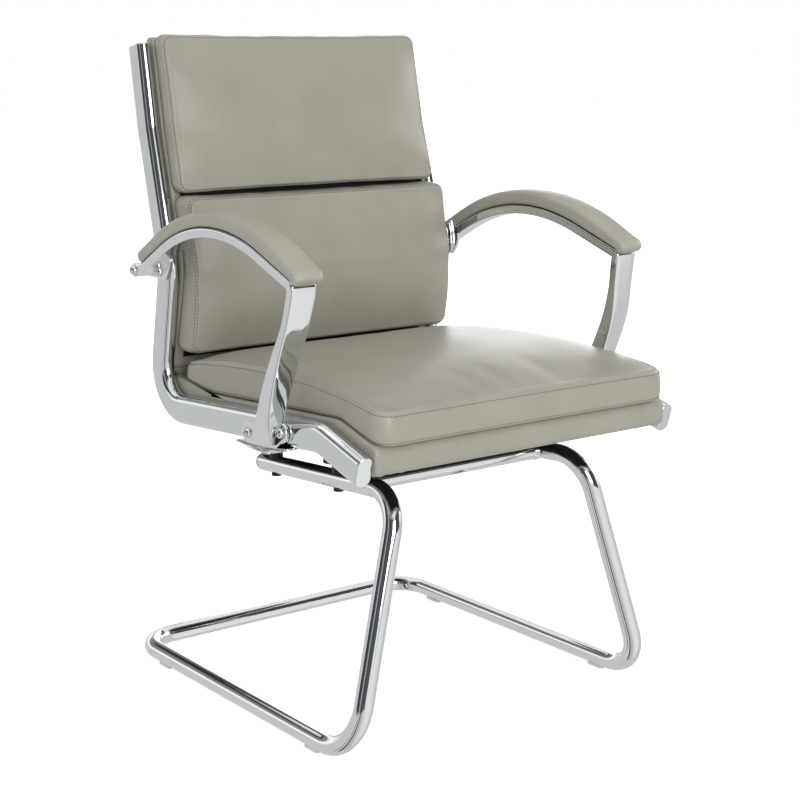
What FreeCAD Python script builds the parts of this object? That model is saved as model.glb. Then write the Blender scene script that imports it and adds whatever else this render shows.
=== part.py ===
"""Cantilever visitor chair: two bent side rails carry a padded back and seat,
two bow armrests and a bent sled base.

Frame: origin on the floor in the middle of the footprint, +Z up, front of the
chair towards -Y, sitter's right hand towards -X. Millimetres.
"""
import FreeCAD, Part
import math
import os
import re
import Sketcher

SIZES = {
    # side rails: flat-oval tube, bent in one piece, described by its centre line
    "rail_gauge": 500.0,
    "rail_toe": 0.034,
    "rail_depth": 40.0,
    "rail_thickness": 22.0,
    "rail_wall": 2.0,
    "rail_top_z": 872.4,
    "rail_top_run": 112.0,
    "rail_top_lean": 0.177,
    "rail_back_lean": 0.262,
    "rail_lumbar_y": 189.8,
    "rail_lumbar_z": 574.5,
    "rail_corner_y": 228.5,
    "rail_corner_z": 377.8,
    "rail_knee_y": -189.8,
    "rail_knee_z": 409.5,
    "rail_front_y": -281.0,
    "rail_front_z": 384.0,
    "kink_radius": 150.0,
    "lumbar_radius": 120.0,
    "corner_radius": 55.0,
    "knee_radius": 75.0,
    "cap_thickness": 1.6,
    "cap_plug": 12.0,
    "cap_fit": 0.2,
    # upholstered shells between the rails
    "side_gap": 0.3,
    "layer_gap": 0.3,
    "back_set": -18.0,
    "back_thickness": 22.0,
    "back_overtop": 11.6,
    "back_edge": 9.0,
    "heel_height": 54.0,
    "heel_inner_radius": 8.0,
    "heel_outer_radius": 45.0,
    "seat_rise": 26.0,
    "seat_drop": 12.0,
    "seat_knee_reach": 20.0,
    "seat_knee_drop": 2.5,
    "seat_knee_top_radius": 80.0,
    "seat_knee_low_radius": 60.0,
    "nose_reach": 10.0,
    "nose_rise": 28.0,
    "nose_drop": 10.0,
    "nose_top_radius": 14.0,
    "nose_low_radius": 10.0,
    "lining_thickness": 1.0,
    "lining_margin": 30.0,
    "lining_low_rise": 70.0,
    "lining_top_drop": 20.0,
    "cover_thickness": 1.2,
    "cover_margin": 27.0,
    "cover_rear_y": 150.0,
    # cushions
    "cushion_gap": 0.8,
    "cushion_edge": 17.0,
    "cushion_roll": 6.0,
    "back_cushion_margin": 3.2,
    "back_seam_inset": 2.0,
    "cushion_overtop": 3.0,
    "cushion_split": 4.0,
    "cushion_split_share": 0.5201,
    "upper_seam_low": 18.0,
    "upper_seam_top": 12.0,
    "upper_crown": 24.0,
    "lower_low_z": 464.0,
    "lower_seam_low": 52.0,
    "lower_seam_top": 31.0,
    "lower_crown": 19.0,
    "seat_cushion_margin": 2.7,
    "seat_seam_inset": 4.0,
    "seat_cushion_front_y": -297.5,
    "seat_cushion_rear_y": 186.0,
    "seat_seam_rear_rise": 65.0,
    "seat_seam_knee_rise": 53.5,
    "seat_seam_front_rise": 68.0,
    "seat_crown": 14.0,
    # armrests: bow, upright and feet of one chromed casting, pad on top
    "arm_stand": 26.5,
    "arm_width": 36.0,
    "arm_height": 13.0,
    "arm_edge": 3.0,
    "arm_tail_reach": 23.0,
    "arm_tail_drop": 4.5,
    "arm_rise": 71.0,
    "arm_rear_slope": 0.53,
    "arm_front_slope": 0.38,
    "arm_crown_run": 0.6,
    "arm_corner_y": -176.0,
    "arm_rear_radius": 300.0,
    "arm_front_radius": 300.0,
    "arm_corner_radius": 10.0,
    "upright_top_lead": 2.6,
    "upright_top_drop": 14.4,
    "upright_foot_drop": 23.0,
    "upright_foot_lead": 5.0,
    "arm_taper_front_y": -60.0,
    "arm_taper_rear_y": 135.0,
    "flange_thickness": 6.0,
    "flange_gap": 0.3,
    "flange_edge": 1.5,
    "foot_front_y": -122.5,
    "foot_rear_y": -43.8,
    "foot_rear_drop": 8.0,
    "foot_ear": 14.0,
    "foot_belly": 10.0,
    "lip_width": 24.0,
    "lip_reach": 30.0,
    "eye_radius": 9.5,
    "rear_bolt_offset": 3.0,
    "rear_bolt_drop": 2.7,
    "web_reach": 17.0,
    "web_height": 52.0,
    "pad_overhang": 2.0,
    "pad_inner_reach": 4.0,
    "pad_rear_height": 15.0,
    "pad_front_height": 24.0,
    "pad_crown": 6.5,
    "pad_board_height": 2.1,
    "pad_board_inset": 5.0,
    "pad_tail_share": 0.03,
    "pad_nose_overhang": 1.0,
    "pad_nose_reach": 20.0,
    "bolt_diameter": 6.0,
    "bolt_head": 14.0,
    "bolt_head_height": 6.0,
    "bolt_seat": 17.0,
    "hole_clearance": 0.6,
    # cross members
    "crossrod_diameter": 18.0,
    "crossrod_gap": 19.9,
    "crossbar_overhang": 12.0,
    "crossbar_width": 36.0,
    "crossbar_wall": 2.0,
    "crossbar_rear_y": 48.0,
    "crossbar_front_y": -98.0,
    "crossbar_corner": 3.0,
    "spacer_height": 8.0,
    "spacer_diameter": 18.0,
    # sled base: one bent round tube with a cross tube between its upper tubes
    "tube_diameter": 25.0,
    "tube_wall": 2.0,
    "sled_top_gauge": 313.0,
    "sled_front_gauge": 494.0,
    "sled_rear_gauge": 490.0,
    "sled_end_y": 78.0,
    "sled_end_z": 313.9,
    "sled_top_y": -225.0,
    "sled_top_z": 332.0,
    "sled_front_y": -257.0,
    "sled_rear_y": 285.0,
    "sled_top_radius": 52.0,
    "sled_front_radius": 60.0,
    "sled_rear_radius": 52.0,
    "sled_cross_y": -138.0,
    "end_cap_length": 8.0,
    "glide_height": 2.5,
    "glide_wrap": 2.0,
    "glide_length": 28.0,
    "glide_width": 14.0,
    "glide_front_y": -168.0,
    "glide_rear_y": 205.0,
}

# places that follow from the sizes above
TIED = {
    "rail_kink_z": "rail_top_z - rail_top_run",
    "rail_kink_y": "rail_lumbar_y + (rail_kink_z - rail_lumbar_z)*rail_back_lean",
    "rail_top_y": "rail_kink_y + rail_top_run*rail_top_lean",
    "upper_top_z": "rail_top_z + back_overtop + cushion_overtop",
    "upper_low_z": "lower_low_z + (upper_top_z - lower_low_z)*cushion_split_share",
    "lower_top_z": "upper_low_z - cushion_split",
    "arm_tail_y": "rail_lumbar_y + arm_tail_reach",
    "arm_tail_z": "rail_lumbar_z - arm_tail_drop",
    "arm_peak_z": "arm_tail_z + arm_rise",
    "arm_rear_bend_y": "arm_tail_y - arm_rise/arm_rear_slope",
    "arm_front_bend_y": "arm_rear_bend_y - arm_rear_radius*tan(atan(arm_rear_slope)/2)"
                        " - arm_front_radius*tan(atan(arm_front_slope)/2) - arm_crown_run",
    "arm_corner_z": "arm_peak_z - (arm_front_bend_y - arm_corner_y)*arm_front_slope",
    "upright_top_y": "arm_corner_y + upright_top_lead",
    "upright_top_z": "arm_corner_z - upright_top_drop",
    "upright_foot_z": "rail_knee_z - upright_foot_drop",
}

RAIL_LEAN = "atan((rail_top_y - rail_kink_y) / (rail_top_z - rail_kink_z))"
NOSE_DIP = "atan((rail_knee_z - rail_front_z) / (rail_knee_y - rail_front_y))"
RAIL_SIDE = "rail_gauge/2 + rail_thickness/2"
SHELL_WIDTH = "rail_gauge - rail_thickness - 2*side_gap"
SHELL_HALF = "rail_gauge/2 - rail_thickness/2 - side_gap"
SLED_FLOOR_Z = "glide_height + tube_diameter/2"
CROSSROD_Y = "rail_lumbar_y + back_set + back_thickness + crossrod_gap + crossrod_diameter/2"
REAR_BOLT_Y = "rail_lumbar_y - rear_bolt_offset"
REAR_BOLT_Z = "rail_lumbar_z - rear_bolt_drop"
SIDES = (("right", -1), ("left", 1))
ACROSS = FreeCAD.Vector(1, 0, 0)
FORWARD = FreeCAD.Vector(0, -1, 0)
UP = FreeCAD.Vector(0, 0, 1)

doc = FreeCAD.newDocument("visitor_chair")
sheet = doc.addObject("Spreadsheet::Sheet", "Sizes")
for row, (alias, value) in enumerate((SIZES | TIED).items(), start=1):
    sheet.set(f"A{row}", alias)
    sheet.set(f"B{row}", str(value) if alias in SIZES else "=" + value)
    sheet.setAlias(f"B{row}", alias)
    doc.recompute()

sub_parts = []


# Reading sizes

def bound(text):
    """A sum of named sizes as an expression on the sheet."""
    return re.sub(r"\b[a-z]\w*\b(?!\()", lambda word: "Sizes." + word.group(0), text)


def amount(text):
    """The present value of such a sum."""
    value = sheet.evalExpression(bound(text))
    return float(getattr(value, "Value", value))


def spot(x, y, z):
    """A point from numbers or sums of named sizes."""
    return FreeCAD.Vector(*(amount(c) if isinstance(c, str) else c for c in (x, y, z)))


def rail_line(y):
    """Height of the rails' centre line at a place under the seat, as a sum."""
    rise = "(rail_knee_z - rail_corner_z)/(rail_corner_y - rail_knee_y)"
    return f"rail_corner_z + (rail_corner_y - ({y}))*{rise}"


def sled_line(y):
    """Height of the sled's upper tubes at a place along them, as a sum."""
    rise = "(sled_top_z - sled_end_z)/(sled_end_y - sled_top_y)"
    return f"sled_end_z + (sled_end_y - ({y}))*{rise}"


# Sketches and features

def new_body(label):
    """An empty body that will be written as one sub-part."""
    body = doc.addObject("PartDesign::Body", label)
    body.Label = label
    sub_parts.append(body)
    return body


def plane_sketch(body, name, role, height=None):
    """A sketch on one of the body's origin planes, lifted along its normal."""
    plane = [item for item in body.Origin.OriginFeatures if item.Role == role][0]
    sketch = body.newObject("Sketcher::SketchObject", name)
    sketch.AttachmentSupport = (plane, [""])
    sketch.MapMode = "FlatFace"
    if height:
        sketch.setExpression("AttachmentOffset.Base.z", bound(height))
    return sketch


def tilted_sketch(body, name, place, tilt):
    """A level sketch moved to a place and tilted about its own x axis."""
    sketch = plane_sketch(body, name, "XY_Plane")
    sketch.AttachmentOffset = FreeCAD.Placement(FreeCAD.Vector(), FreeCAD.Rotation(ACROSS, 1))
    for axis, text in zip("xyz", place):
        sketch.setExpression(f"AttachmentOffset.Base.{axis}", bound(text))
    sketch.setExpression("AttachmentOffset.Rotation.Angle", bound(tilt))
    return sketch


def dimension(sketch, name, text, kind, *where):
    """Add a dimension, name it and bind it to the sheet."""
    index = sketch.addConstraint(Sketcher.Constraint(kind, *where, amount(text)))
    sketch.renameConstraint(index, name)
    sketch.setExpression(f"Constraints.{name}", bound(text))


def corner_arc(before, at, after, radius):
    """Centre of the arc that rounds a corner, and where it starts and ends."""
    to_before = (before - at).normalize()
    to_after = (after - at).normalize()
    half = to_before.getAngle(to_after) / 2
    reach = radius / math.tan(half)
    centre = at + (to_before + to_after).normalize() * (radius / math.sin(half))
    return centre, at + to_before * reach, at + to_after * reach


def rounded_line(sketch, corners, closed=False, prefix="p"):
    """A chain of lines through corners (across, up, radius), each one rounded.

    A corner without a radius stays sharp. Every corner is a dimensioned point.
    """
    points = [spot(corner[0], corner[1], 0) for corner in corners]
    count = len(points)
    arcs = {}
    starts = list(points)
    ends = list(points)
    for index, corner in enumerate(corners):
        if len(corner) < 3:
            continue
        before, at, after = points[index - 1], points[index], points[(index + 1) % count]
        radius = amount(corner[2])
        centre, ends[index], starts[index] = corner_arc(before, at, after, radius)
        left_turn = (at - before).cross(after - at).z > 0
        circle = Part.Circle(centre, UP, radius)
        low, high = ends[index], starts[index]
        if not left_turn:
            low, high = high, low
        arc = Part.ArcOfCircle(circle, circle.parameter(low), circle.parameter(high))
        arcs[index] = (sketch.addGeometry(arc), left_turn)
    lines = {}
    for index in range(count if closed else count - 1):
        follow = (index + 1) % count
        lines[index] = sketch.addGeometry(Part.LineSegment(starts[index], ends[follow]))
    for index, corner in enumerate(corners):
        mark = sketch.addGeometry(Part.Point(points[index]))
        sketch.toggleConstruction(mark)
        dimension(sketch, f"{prefix}{index}x", corner[0], "DistanceX", mark, 1)
        dimension(sketch, f"{prefix}{index}y", corner[1], "DistanceY", mark, 1)
        arriving = lines.get((index - 1) % count if closed else index - 1)
        leaving = lines.get(index)
        if index in arcs:
            arc, left_turn = arcs[index]
            entry, leave = (1, 2) if left_turn else (2, 1)
            sketch.addConstraint(Sketcher.Constraint("PointOnObject", mark, 1, arriving))
            sketch.addConstraint(Sketcher.Constraint("PointOnObject", mark, 1, leaving))
            sketch.addConstraint(Sketcher.Constraint("Tangent", arriving, 2, arc, entry))
            sketch.addConstraint(Sketcher.Constraint("Tangent", arc, leave, leaving, 1))
            dimension(sketch, f"{prefix}{index}r", corner[2], "Radius", arc)
            continue
        if arriving is not None:
            sketch.addConstraint(Sketcher.Constraint("Coincident", arriving, 2, mark, 1))
        if leaving is not None:
            sketch.addConstraint(Sketcher.Constraint("Coincident", leaving, 1, mark, 1))


def obround(sketch, depth, width, prefix):
    """A flat oval round the sketch's origin, its long way along the y axis."""
    radius = amount(f"({width})/2")
    reach = amount(f"({depth})/2") - radius
    up = FreeCAD.Vector(0, reach, 0)
    out = FreeCAD.Vector(radius, 0, 0)
    right = sketch.addGeometry(Part.LineSegment(out - up, out + up))
    top = sketch.addGeometry(Part.ArcOfCircle(Part.Circle(up, UP, radius), 0, math.pi))
    left = sketch.addGeometry(Part.LineSegment(up - out, -up - out))
    low_circle = Part.Circle(-up, UP, radius)
    low = sketch.addGeometry(Part.ArcOfCircle(low_circle, math.pi, 2 * math.pi))
    loop = (right, top, left, low)
    for here, there in zip(loop, loop[1:] + loop[:1]):
        sketch.addConstraint(Sketcher.Constraint("Tangent", here, 2, there, 1))
    sketch.addConstraint(Sketcher.Constraint("PointOnObject", top, 3, -2))
    sketch.addConstraint(Sketcher.Constraint("Symmetric", top, 3, low, 3, -1, 1))
    dimension(sketch, prefix + "radius", f"({width})/2", "Radius", top)
    dimension(sketch, prefix + "reach", f"({depth})/2 - ({width})/2", "DistanceY", top, 3)


def ring(sketch, across, up, diameter, name):
    """A circle placed and sized from the sheet."""
    centre = spot(across, up, 0)
    made = sketch.addGeometry(Part.Circle(centre, UP, amount(f"({diameter})/2")))
    dimension(sketch, name + "x", across, "DistanceX", made, 3)
    dimension(sketch, name + "y", up, "DistanceY", made, 3)
    dimension(sketch, name + "r", f"({diameter})/2", "Radius", made)


def pad(body, name, sketch, length, symmetric=False, backwards=False, kind="Pad"):
    """Push a sketch into the body, or out of it as a pocket."""
    made = body.newObject("PartDesign::" + kind, name)
    made.Profile = sketch
    if symmetric:
        made.SideType = "Symmetric"
    made.Reversed = backwards
    made.setExpression("Length", bound(length))
    doc.recompute()
    return made


def plain_feature(label, shape):
    """A sub-part whose shape is worked out here from the same sizes."""
    part = doc.addObject("Part::Feature", label)
    part.Label = label
    part.Shape = shape
    part.Placement = FreeCAD.Placement()
    sub_parts.append(part)
    return part


def side_turn(sign):
    """The turn of one side: its rail runs inwards from front to rear."""
    pivot = spot(f"{sign}*rail_gauge/2", "rail_front_y", 0)
    turn = FreeCAD.Rotation(UP, sign * math.degrees(math.atan(amount("rail_toe"))))
    return FreeCAD.Placement(FreeCAD.Vector(), turn, pivot)


def both_sides(name, shape, toe=False):
    """One sub-part per side from the shape of the sitter's left."""
    for side, sign in SIDES:
        mirrored = shape if sign > 0 else shape.mirror(FreeCAD.Vector(), ACROSS)
        part = plain_feature(f"{name}_{side}", mirrored)
        if toe:
            part.Placement = side_turn(sign)


# Shapes worked out with points

def bent_edges(corners):
    """Straight runs and tangent arcs along corners (point, radius)."""
    edges = []
    here = corners[0][0]
    for (before, _), (at, radius), (after, _) in zip(corners, corners[1:], corners[2:]):
        centre, first, last = corner_arc(before, at, after, radius)
        middle = centre + (at - centre).normalize() * radius
        edges.append(Part.LineSegment(here, first).toShape())
        edges.append(Part.Arc(first, middle, last).toShape())
        here = last
    edges.append(Part.LineSegment(here, corners[-1][0]).toShape())
    return edges


def swept(edges, profile):
    """A solid from one closed profile along a path."""
    return Part.Wire(edges).makePipeShell([profile], True, False)


def round_profile(centre, direction, diameter):
    """A circle across a path."""
    return Part.Wire(Part.Circle(centre, direction, diameter / 2).toShape())


def box_profile(centre, across, upward, width, height, radius):
    """A rectangle with rounded corners, standing in any plane."""
    corners = []
    for right, top in ((1, 1), (-1, 1), (-1, -1), (1, -1)):
        corner = centre + across * (right * width / 2) + upward * (top * height / 2)
        side_run = across * (-right * radius)
        top_run = upward * (-top * radius)
        inner = corner + side_run + top_run
        middle = inner + (corner - inner) * math.sqrt(0.5)
        ends = [corner + top_run, corner + side_run]
        if right * top < 0:
            ends.reverse()
        corners.append((ends[0], middle, ends[1]))
    edges = []
    for here, there in zip(corners, corners[1:] + corners[:1]):
        edges.append(Part.Arc(*here).toShape())
        edges.append(Part.LineSegment(here[2], there[0]).toShape())
    return Part.Wire(edges)


def crowned_profile(low_a, low_b, high_b, high_a, bulge, crown):
    """A flat base, two sides that swell outwards and a crowned top, as a wire."""
    side_b = (low_b + high_b) * 0.5 + (low_b - low_a).normalize() * bulge
    side_a = (low_a + high_a) * 0.5 + (low_a - low_b).normalize() * bulge
    top = (high_a + high_b) * 0.5 + crown
    return Part.Wire([
        Part.LineSegment(low_a, low_b).toShape(),
        Part.Arc(low_b, side_b, high_b).toShape(),
        Part.Arc(high_b, top, high_a).toShape(),
        Part.Arc(high_a, side_a, low_a).toShape(),
    ])


CUSHION_STEPS = 6


def stations(length, end):
    """Distances along a cushion: close together at both rounded ends."""
    near = [0.0, 0.12 * end, 0.45 * end, end, 2 * end]
    step = (length - 4 * end) / CUSHION_STEPS
    middle = [2 * end + step * number for number in range(1, CUSHION_STEPS)]
    return near + middle + [length - run for run in reversed(near)]


def roundness(distance, end):
    """How full a rounded end is at a distance from it, from 0 to 1."""
    share = min(distance / end, 1.0)
    return math.sqrt(1.0 - (1.0 - share) ** 2)


def along_x(diameter, start, length):
    """A cylinder across the chair."""
    return Part.makeCylinder(diameter / 2, length, start, ACROSS)


# Side rails and their caps

RAIL_CORNERS = (
    ("rail_top_y", "rail_top_z"),
    ("rail_kink_y", "rail_kink_z", "kink_radius"),
    ("rail_lumbar_y", "rail_lumbar_z", "lumbar_radius"),
    ("rail_corner_y", "rail_corner_z", "corner_radius"),
    ("rail_knee_y", "rail_knee_z", "knee_radius"),
    ("rail_front_y", "rail_front_z"),
)
BORE_DEPTH = "rail_depth - 2*rail_wall"
BORE_WIDTH = "rail_thickness - 2*rail_wall"
HOLE = "bolt_diameter + hole_clearance"
RAIL_BOLTS = (
    ("foot_front_y", rail_line("foot_front_y")),
    ("foot_rear_y", rail_line("foot_rear_y") + " - foot_rear_drop"),
    (REAR_BOLT_Y, REAR_BOLT_Z),
)
RAIL_ENDS = (
    ("top", "rail_top_y", "rail_top_z", "-1*" + RAIL_LEAN),
    ("front", "rail_front_y", "rail_front_z", "acos(0) + " + NOSE_DIP),
)


def side_rail(side, sign):
    """One bent flat-oval tube with its three bolt holes in the outer wall."""
    body = new_body(f"side_rail_{side}")
    centre = f"{sign}*rail_gauge/2"
    line = plane_sketch(body, f"rail_line_{side}", "YZ_Plane", centre)
    rounded_line(line, RAIL_CORNERS)
    top = (centre, "rail_top_y", "rail_top_z")
    section = tilted_sketch(body, f"rail_section_{side}", top, "-1*" + RAIL_LEAN)
    obround(section, "rail_depth", "rail_thickness", "outer")
    obround(section, BORE_DEPTH, BORE_WIDTH, "inner")
    pipe = body.newObject("PartDesign::AdditivePipe", f"rail_tube_{side}")
    pipe.Profile = section
    pipe.Spine = (line, [])
    doc.recompute()
    holes = plane_sketch(body, f"rail_holes_{side}", "YZ_Plane", f"{sign}*({RAIL_SIDE})")
    for number, (y, z) in enumerate(RAIL_BOLTS):
        ring(holes, y, z, HOLE, f"hole{number}")
    pad(body, f"rail_drilling_{side}", holes, "rail_thickness/2",
        backwards=sign < 0, kind="Pocket")
    body.Placement = side_turn(sign)


def rail_cap(side, sign, end, y, z, tilt):
    """A flush cap with a plug that fits the tube's bore."""
    body = new_body(f"rail_{end}_cap_{side}")
    place = (f"{sign}*rail_gauge/2", y, z)
    face = tilted_sketch(body, f"{end}_cap_face_{side}", place, tilt)
    obround(face, "rail_depth", "rail_thickness", "outer")
    pad(body, f"{end}_cap_plate_{side}", face, "cap_thickness")
    plug = tilted_sketch(body, f"{end}_cap_plug_{side}", place, tilt)
    obround(plug, BORE_DEPTH + " - 2*cap_fit", BORE_WIDTH + " - 2*cap_fit", "inner")
    pad(body, f"{end}_cap_tongue_{side}", plug, "cap_plug", backwards=True)
    body.Placement = side_turn(sign)


# Shells, lining and dust cover between the rails

def trim_sides(body):
    """Cut a panel's sides parallel to the turned rails."""
    run = "(rail_top_y - rail_front_y + 2*back_thickness)"
    for side, sign in SIDES:
        top = "rail_top_z + 2*back_overtop"
        outline = plane_sketch(body, f"{body.Label}_trim_{side}", "XY_Plane", top)
        rounded_line(outline, (
            (f"{sign}*({SHELL_HALF})", "rail_front_y"),
            (f"{sign}*({SHELL_HALF} + rail_thickness)", "rail_front_y"),
            (f"{sign}*({SHELL_HALF} + rail_thickness)", f"rail_front_y + {run}"),
            (f"{sign}*({SHELL_HALF} - rail_toe*{run})", f"rail_front_y + {run}"),
        ), closed=True)
        pad(body, f"{body.Label}_side_{side}", outline, top, kind="Pocket")


def back_corner(shift):
    """The back's bend points, moved backwards from the front of its shell."""
    slope = "(rail_top_y - rail_kink_y)/(rail_top_z - rail_kink_z)"
    return {
        "top": f"rail_top_y + back_overtop*{slope} + back_set + {shift}",
        "kink": f"rail_kink_y + back_set + {shift}",
        "lumbar": f"rail_lumbar_y + back_set + {shift}",
        "heel": f"rail_corner_y - back_thickness + {shift}",
    }


def back_shell():
    """Upholstered panel from above the rails down to the seat's heel."""
    body = new_body("back_shell")
    front = back_corner("0")
    rear = back_corner("back_thickness")
    top = "rail_top_z + back_overtop"
    split = "rail_corner_z + heel_height + layer_gap"
    outline = plane_sketch(body, "back_outline", "YZ_Plane")
    rounded_line(outline, (
        (front["heel"], split),
        (rear["heel"], split),
        (rear["lumbar"], "rail_lumbar_z", "lumbar_radius"),
        (rear["kink"], "rail_kink_z", "kink_radius"),
        (rear["top"], top, "back_edge"),
        (front["top"], top, "back_edge"),
        (front["kink"], "rail_kink_z", "kink_radius"),
        (front["lumbar"], "rail_lumbar_z", "lumbar_radius"),
    ), closed=True)
    pad(body, "back_panel", outline, SHELL_WIDTH, symmetric=True)
    trim_sides(body)


def seat_shell():
    """Upholstered panel with its upturned heel and its rolled nose."""
    body = new_body("seat_shell")
    nose = "rail_front_y - nose_reach"
    heel = "rail_corner_z + heel_height"
    inner_heel = "rail_corner_y - back_thickness"
    outline = plane_sketch(body, "seat_outline", "YZ_Plane")
    rounded_line(outline, (
        (inner_heel, heel),
        (inner_heel, rail_line(inner_heel) + " + seat_rise", "heel_inner_radius"),
        ("rail_knee_y - seat_knee_reach", "rail_knee_z + seat_rise - seat_knee_drop",
         "seat_knee_top_radius"),
        (nose, "rail_front_z + nose_rise", "nose_top_radius"),
        (nose, "rail_front_z - nose_drop", "nose_low_radius"),
        ("rail_knee_y", "rail_knee_z - seat_drop", "seat_knee_low_radius"),
        ("rail_corner_y", "rail_corner_z - seat_drop", "heel_outer_radius"),
        ("rail_corner_y", heel),
    ), closed=True)
    pad(body, "seat_panel", outline, SHELL_WIDTH, symmetric=True)
    trim_sides(body)


def back_lining():
    """Thin black lining that shows between the back cushions."""
    body = new_body("back_lining")
    rear = back_corner("-1*layer_gap")
    front = back_corner("-1*(layer_gap + lining_thickness)")
    low = "rail_corner_z + lining_low_rise"
    high = "rail_top_z + back_overtop - lining_top_drop"
    share = "lining_top_drop*(rail_top_y - rail_kink_y)/(rail_top_z - rail_kink_z)"
    sink = ("(rail_lumbar_z - rail_corner_z - lining_low_rise)"
            "/(rail_lumbar_z - rail_corner_z - heel_height - layer_gap)")
    spread = f"(rail_corner_y - back_thickness - rail_lumbar_y - back_set)*{sink}"
    outline = plane_sketch(body, "lining_outline", "YZ_Plane")
    rounded_line(outline, (
        (front["lumbar"] + " + " + spread, low),
        (rear["lumbar"] + " + " + spread, low),
        (rear["lumbar"], "rail_lumbar_z", "lumbar_radius"),
        (rear["kink"], "rail_kink_z", "kink_radius"),
        (rear["top"] + " - " + share, high),
        (front["top"] + " - " + share, high),
        (front["kink"], "rail_kink_z", "kink_radius"),
        (front["lumbar"], "rail_lumbar_z", "lumbar_radius"),
    ), closed=True)
    pad(body, "lining_sheet", outline, SHELL_WIDTH + " - 2*lining_margin", symmetric=True)


def seat_dust_cover():
    """Thin black cover under the seat shell."""
    body = new_body("seat_dust_cover")
    nose = "rail_front_y - nose_reach + 2*nose_low_radius"
    nose_slope = ("(rail_knee_z - seat_drop - rail_front_z + nose_drop)"
                  "/(rail_knee_y - rail_front_y + nose_reach)")
    rows = []
    for drop in ("layer_gap", "(layer_gap + cover_thickness)"):
        rows.append((
            (nose, f"rail_front_z - nose_drop + 2*nose_low_radius*{nose_slope} - {drop}"),
            ("rail_knee_y", f"rail_knee_z - seat_drop - {drop}", "seat_knee_low_radius"),
            ("cover_rear_y", rail_line("cover_rear_y") + f" - seat_drop - {drop}"),
        ))
    outline = plane_sketch(body, "cover_outline", "YZ_Plane")
    rounded_line(outline, rows[0] + rows[1][::-1], closed=True)
    pad(body, "cover_sheet", outline, SHELL_WIDTH + " - 2*cover_margin", symmetric=True)


# Cushions

def back_face_y(z):
    """Front of the back lining at a height."""
    front = back_corner("-1*(layer_gap + lining_thickness + cushion_gap)")
    levels = (("top", "rail_top_z + back_overtop"), ("kink", "rail_kink_z"),
              ("lumbar", "rail_lumbar_z"), ("heel", "rail_corner_z + heel_height"))
    knots = [(amount(front[name]), amount(level)) for name, level in levels]
    for (high_y, high_z), (low_y, low_z) in zip(knots, knots[1:]):
        if z >= low_z:
            return low_y + (z - low_z) * (high_y - low_y) / (high_z - low_z)
    return knots[-1][0]


def seat_face_z(y):
    """Where the seat cushion rests on its shell."""
    knee = spot(0, "rail_knee_y - seat_knee_reach", "rail_knee_z + seat_rise - seat_knee_drop")
    nose = spot(0, "rail_front_y - nose_reach", "rail_front_z + nose_rise")
    heel = spot(0, "rail_corner_y - back_thickness",
                rail_line("rail_corner_y - back_thickness") + " + seat_rise")
    low, high = (knee, heel) if y > knee.y else (nose, knee)
    share = (max(y, nose.y) - low.y) / (high.y - low.y)
    return low.z + share * (high.z - low.z) + amount("cushion_gap")


def toe_at(y):
    """How far the rails have come inwards at a place along the chair."""
    return amount("rail_toe") * max(y - amount("rail_front_y"), 0.0)


def back_cushion(name):
    """A crowned cushion on the back, drawn in at its ends and seams."""
    low, high = amount(f"{name}_low_z"), amount(f"{name}_top_z")
    end = amount("cushion_edge")
    base_half = amount(f"{SHELL_HALF} - back_cushion_margin")
    sections = []
    for run in stations(high - low, end):
        z = low + run
        y = back_face_y(z)
        share = run / (high - low)
        full = roundness(min(run, high - low - run), end)
        seam = amount(f"{name}_seam_low") * (1 - share) + amount(f"{name}_seam_top") * share
        seam *= 0.5 + 0.5 * full
        crown = amount(f"{name}_crown") * (1 - abs(2 * share - 1) ** 4) + 1.0
        half = base_half - toe_at(y) - end * (1 - full)
        seam_half = half - amount("back_seam_inset") * (0.5 + 0.5 * full)
        sections.append(crowned_profile(
            FreeCAD.Vector(-half, y, z), FreeCAD.Vector(half, y, z),
            FreeCAD.Vector(seam_half, y - seam, z), FreeCAD.Vector(-seam_half, y - seam, z),
            0.04 * seam, FORWARD * crown))
    plain_feature(f"{name}_back_cushion", Part.makeLoft(sections, True, False))


def through_three(knots, y):
    """A smooth curve through three points, read at y."""
    total = 0.0
    for index, (here, value) in enumerate(knots):
        for other, (there, _) in enumerate(knots):
            if other != index:
                value *= (y - there) / (here - there)
        total += value
    return total


def seat_cushion():
    """Boxed seat cushion that follows the shell and bulges at its front."""
    rear, front = amount("seat_cushion_rear_y"), amount("seat_cushion_front_y")
    end = amount("cushion_edge")
    roll = amount("cushion_roll")
    base_half = amount(f"{SHELL_HALF} - seat_cushion_margin")
    seam_line = (
        (rear, amount("rail_corner_z + seat_seam_rear_rise")),
        (amount("rail_knee_y"), amount("rail_knee_z + seat_seam_knee_rise")),
        (front, amount("rail_front_z + seat_seam_front_rise")),
    )
    sections = []
    for run in stations(rear - front, end):
        y = rear - run
        share = run / (rear - front)
        full = roundness(min(run, rear - front - run), end)
        low = seat_face_z(y) + roll * (1 - full)
        seam = through_three(seam_line, y) - roll * (1 - full)
        crown = amount("seat_crown") * (0.35 + 0.65 * share) * (1 - abs(2 * share - 1) ** 6)
        half = base_half - toe_at(y) - end * (1 - full)
        seam_half = half - amount("seat_seam_inset")
        sections.append(crowned_profile(
            FreeCAD.Vector(-half, y, low), FreeCAD.Vector(half, y, low),
            FreeCAD.Vector(seam_half, y, seam), FreeCAD.Vector(-seam_half, y, seam),
            0.03 * (seam - low), UP * (crown + 1.0)))
    plain_feature("seat_cushion", Part.makeLoft(sections, True, False))


# Armrests

ARM_OUTER = RAIL_SIDE + " + arm_stand"
FLANGE_X = RAIL_SIDE + " + flange_gap"
FLANGE_OUT = FLANGE_X + " + flange_thickness"
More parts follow.
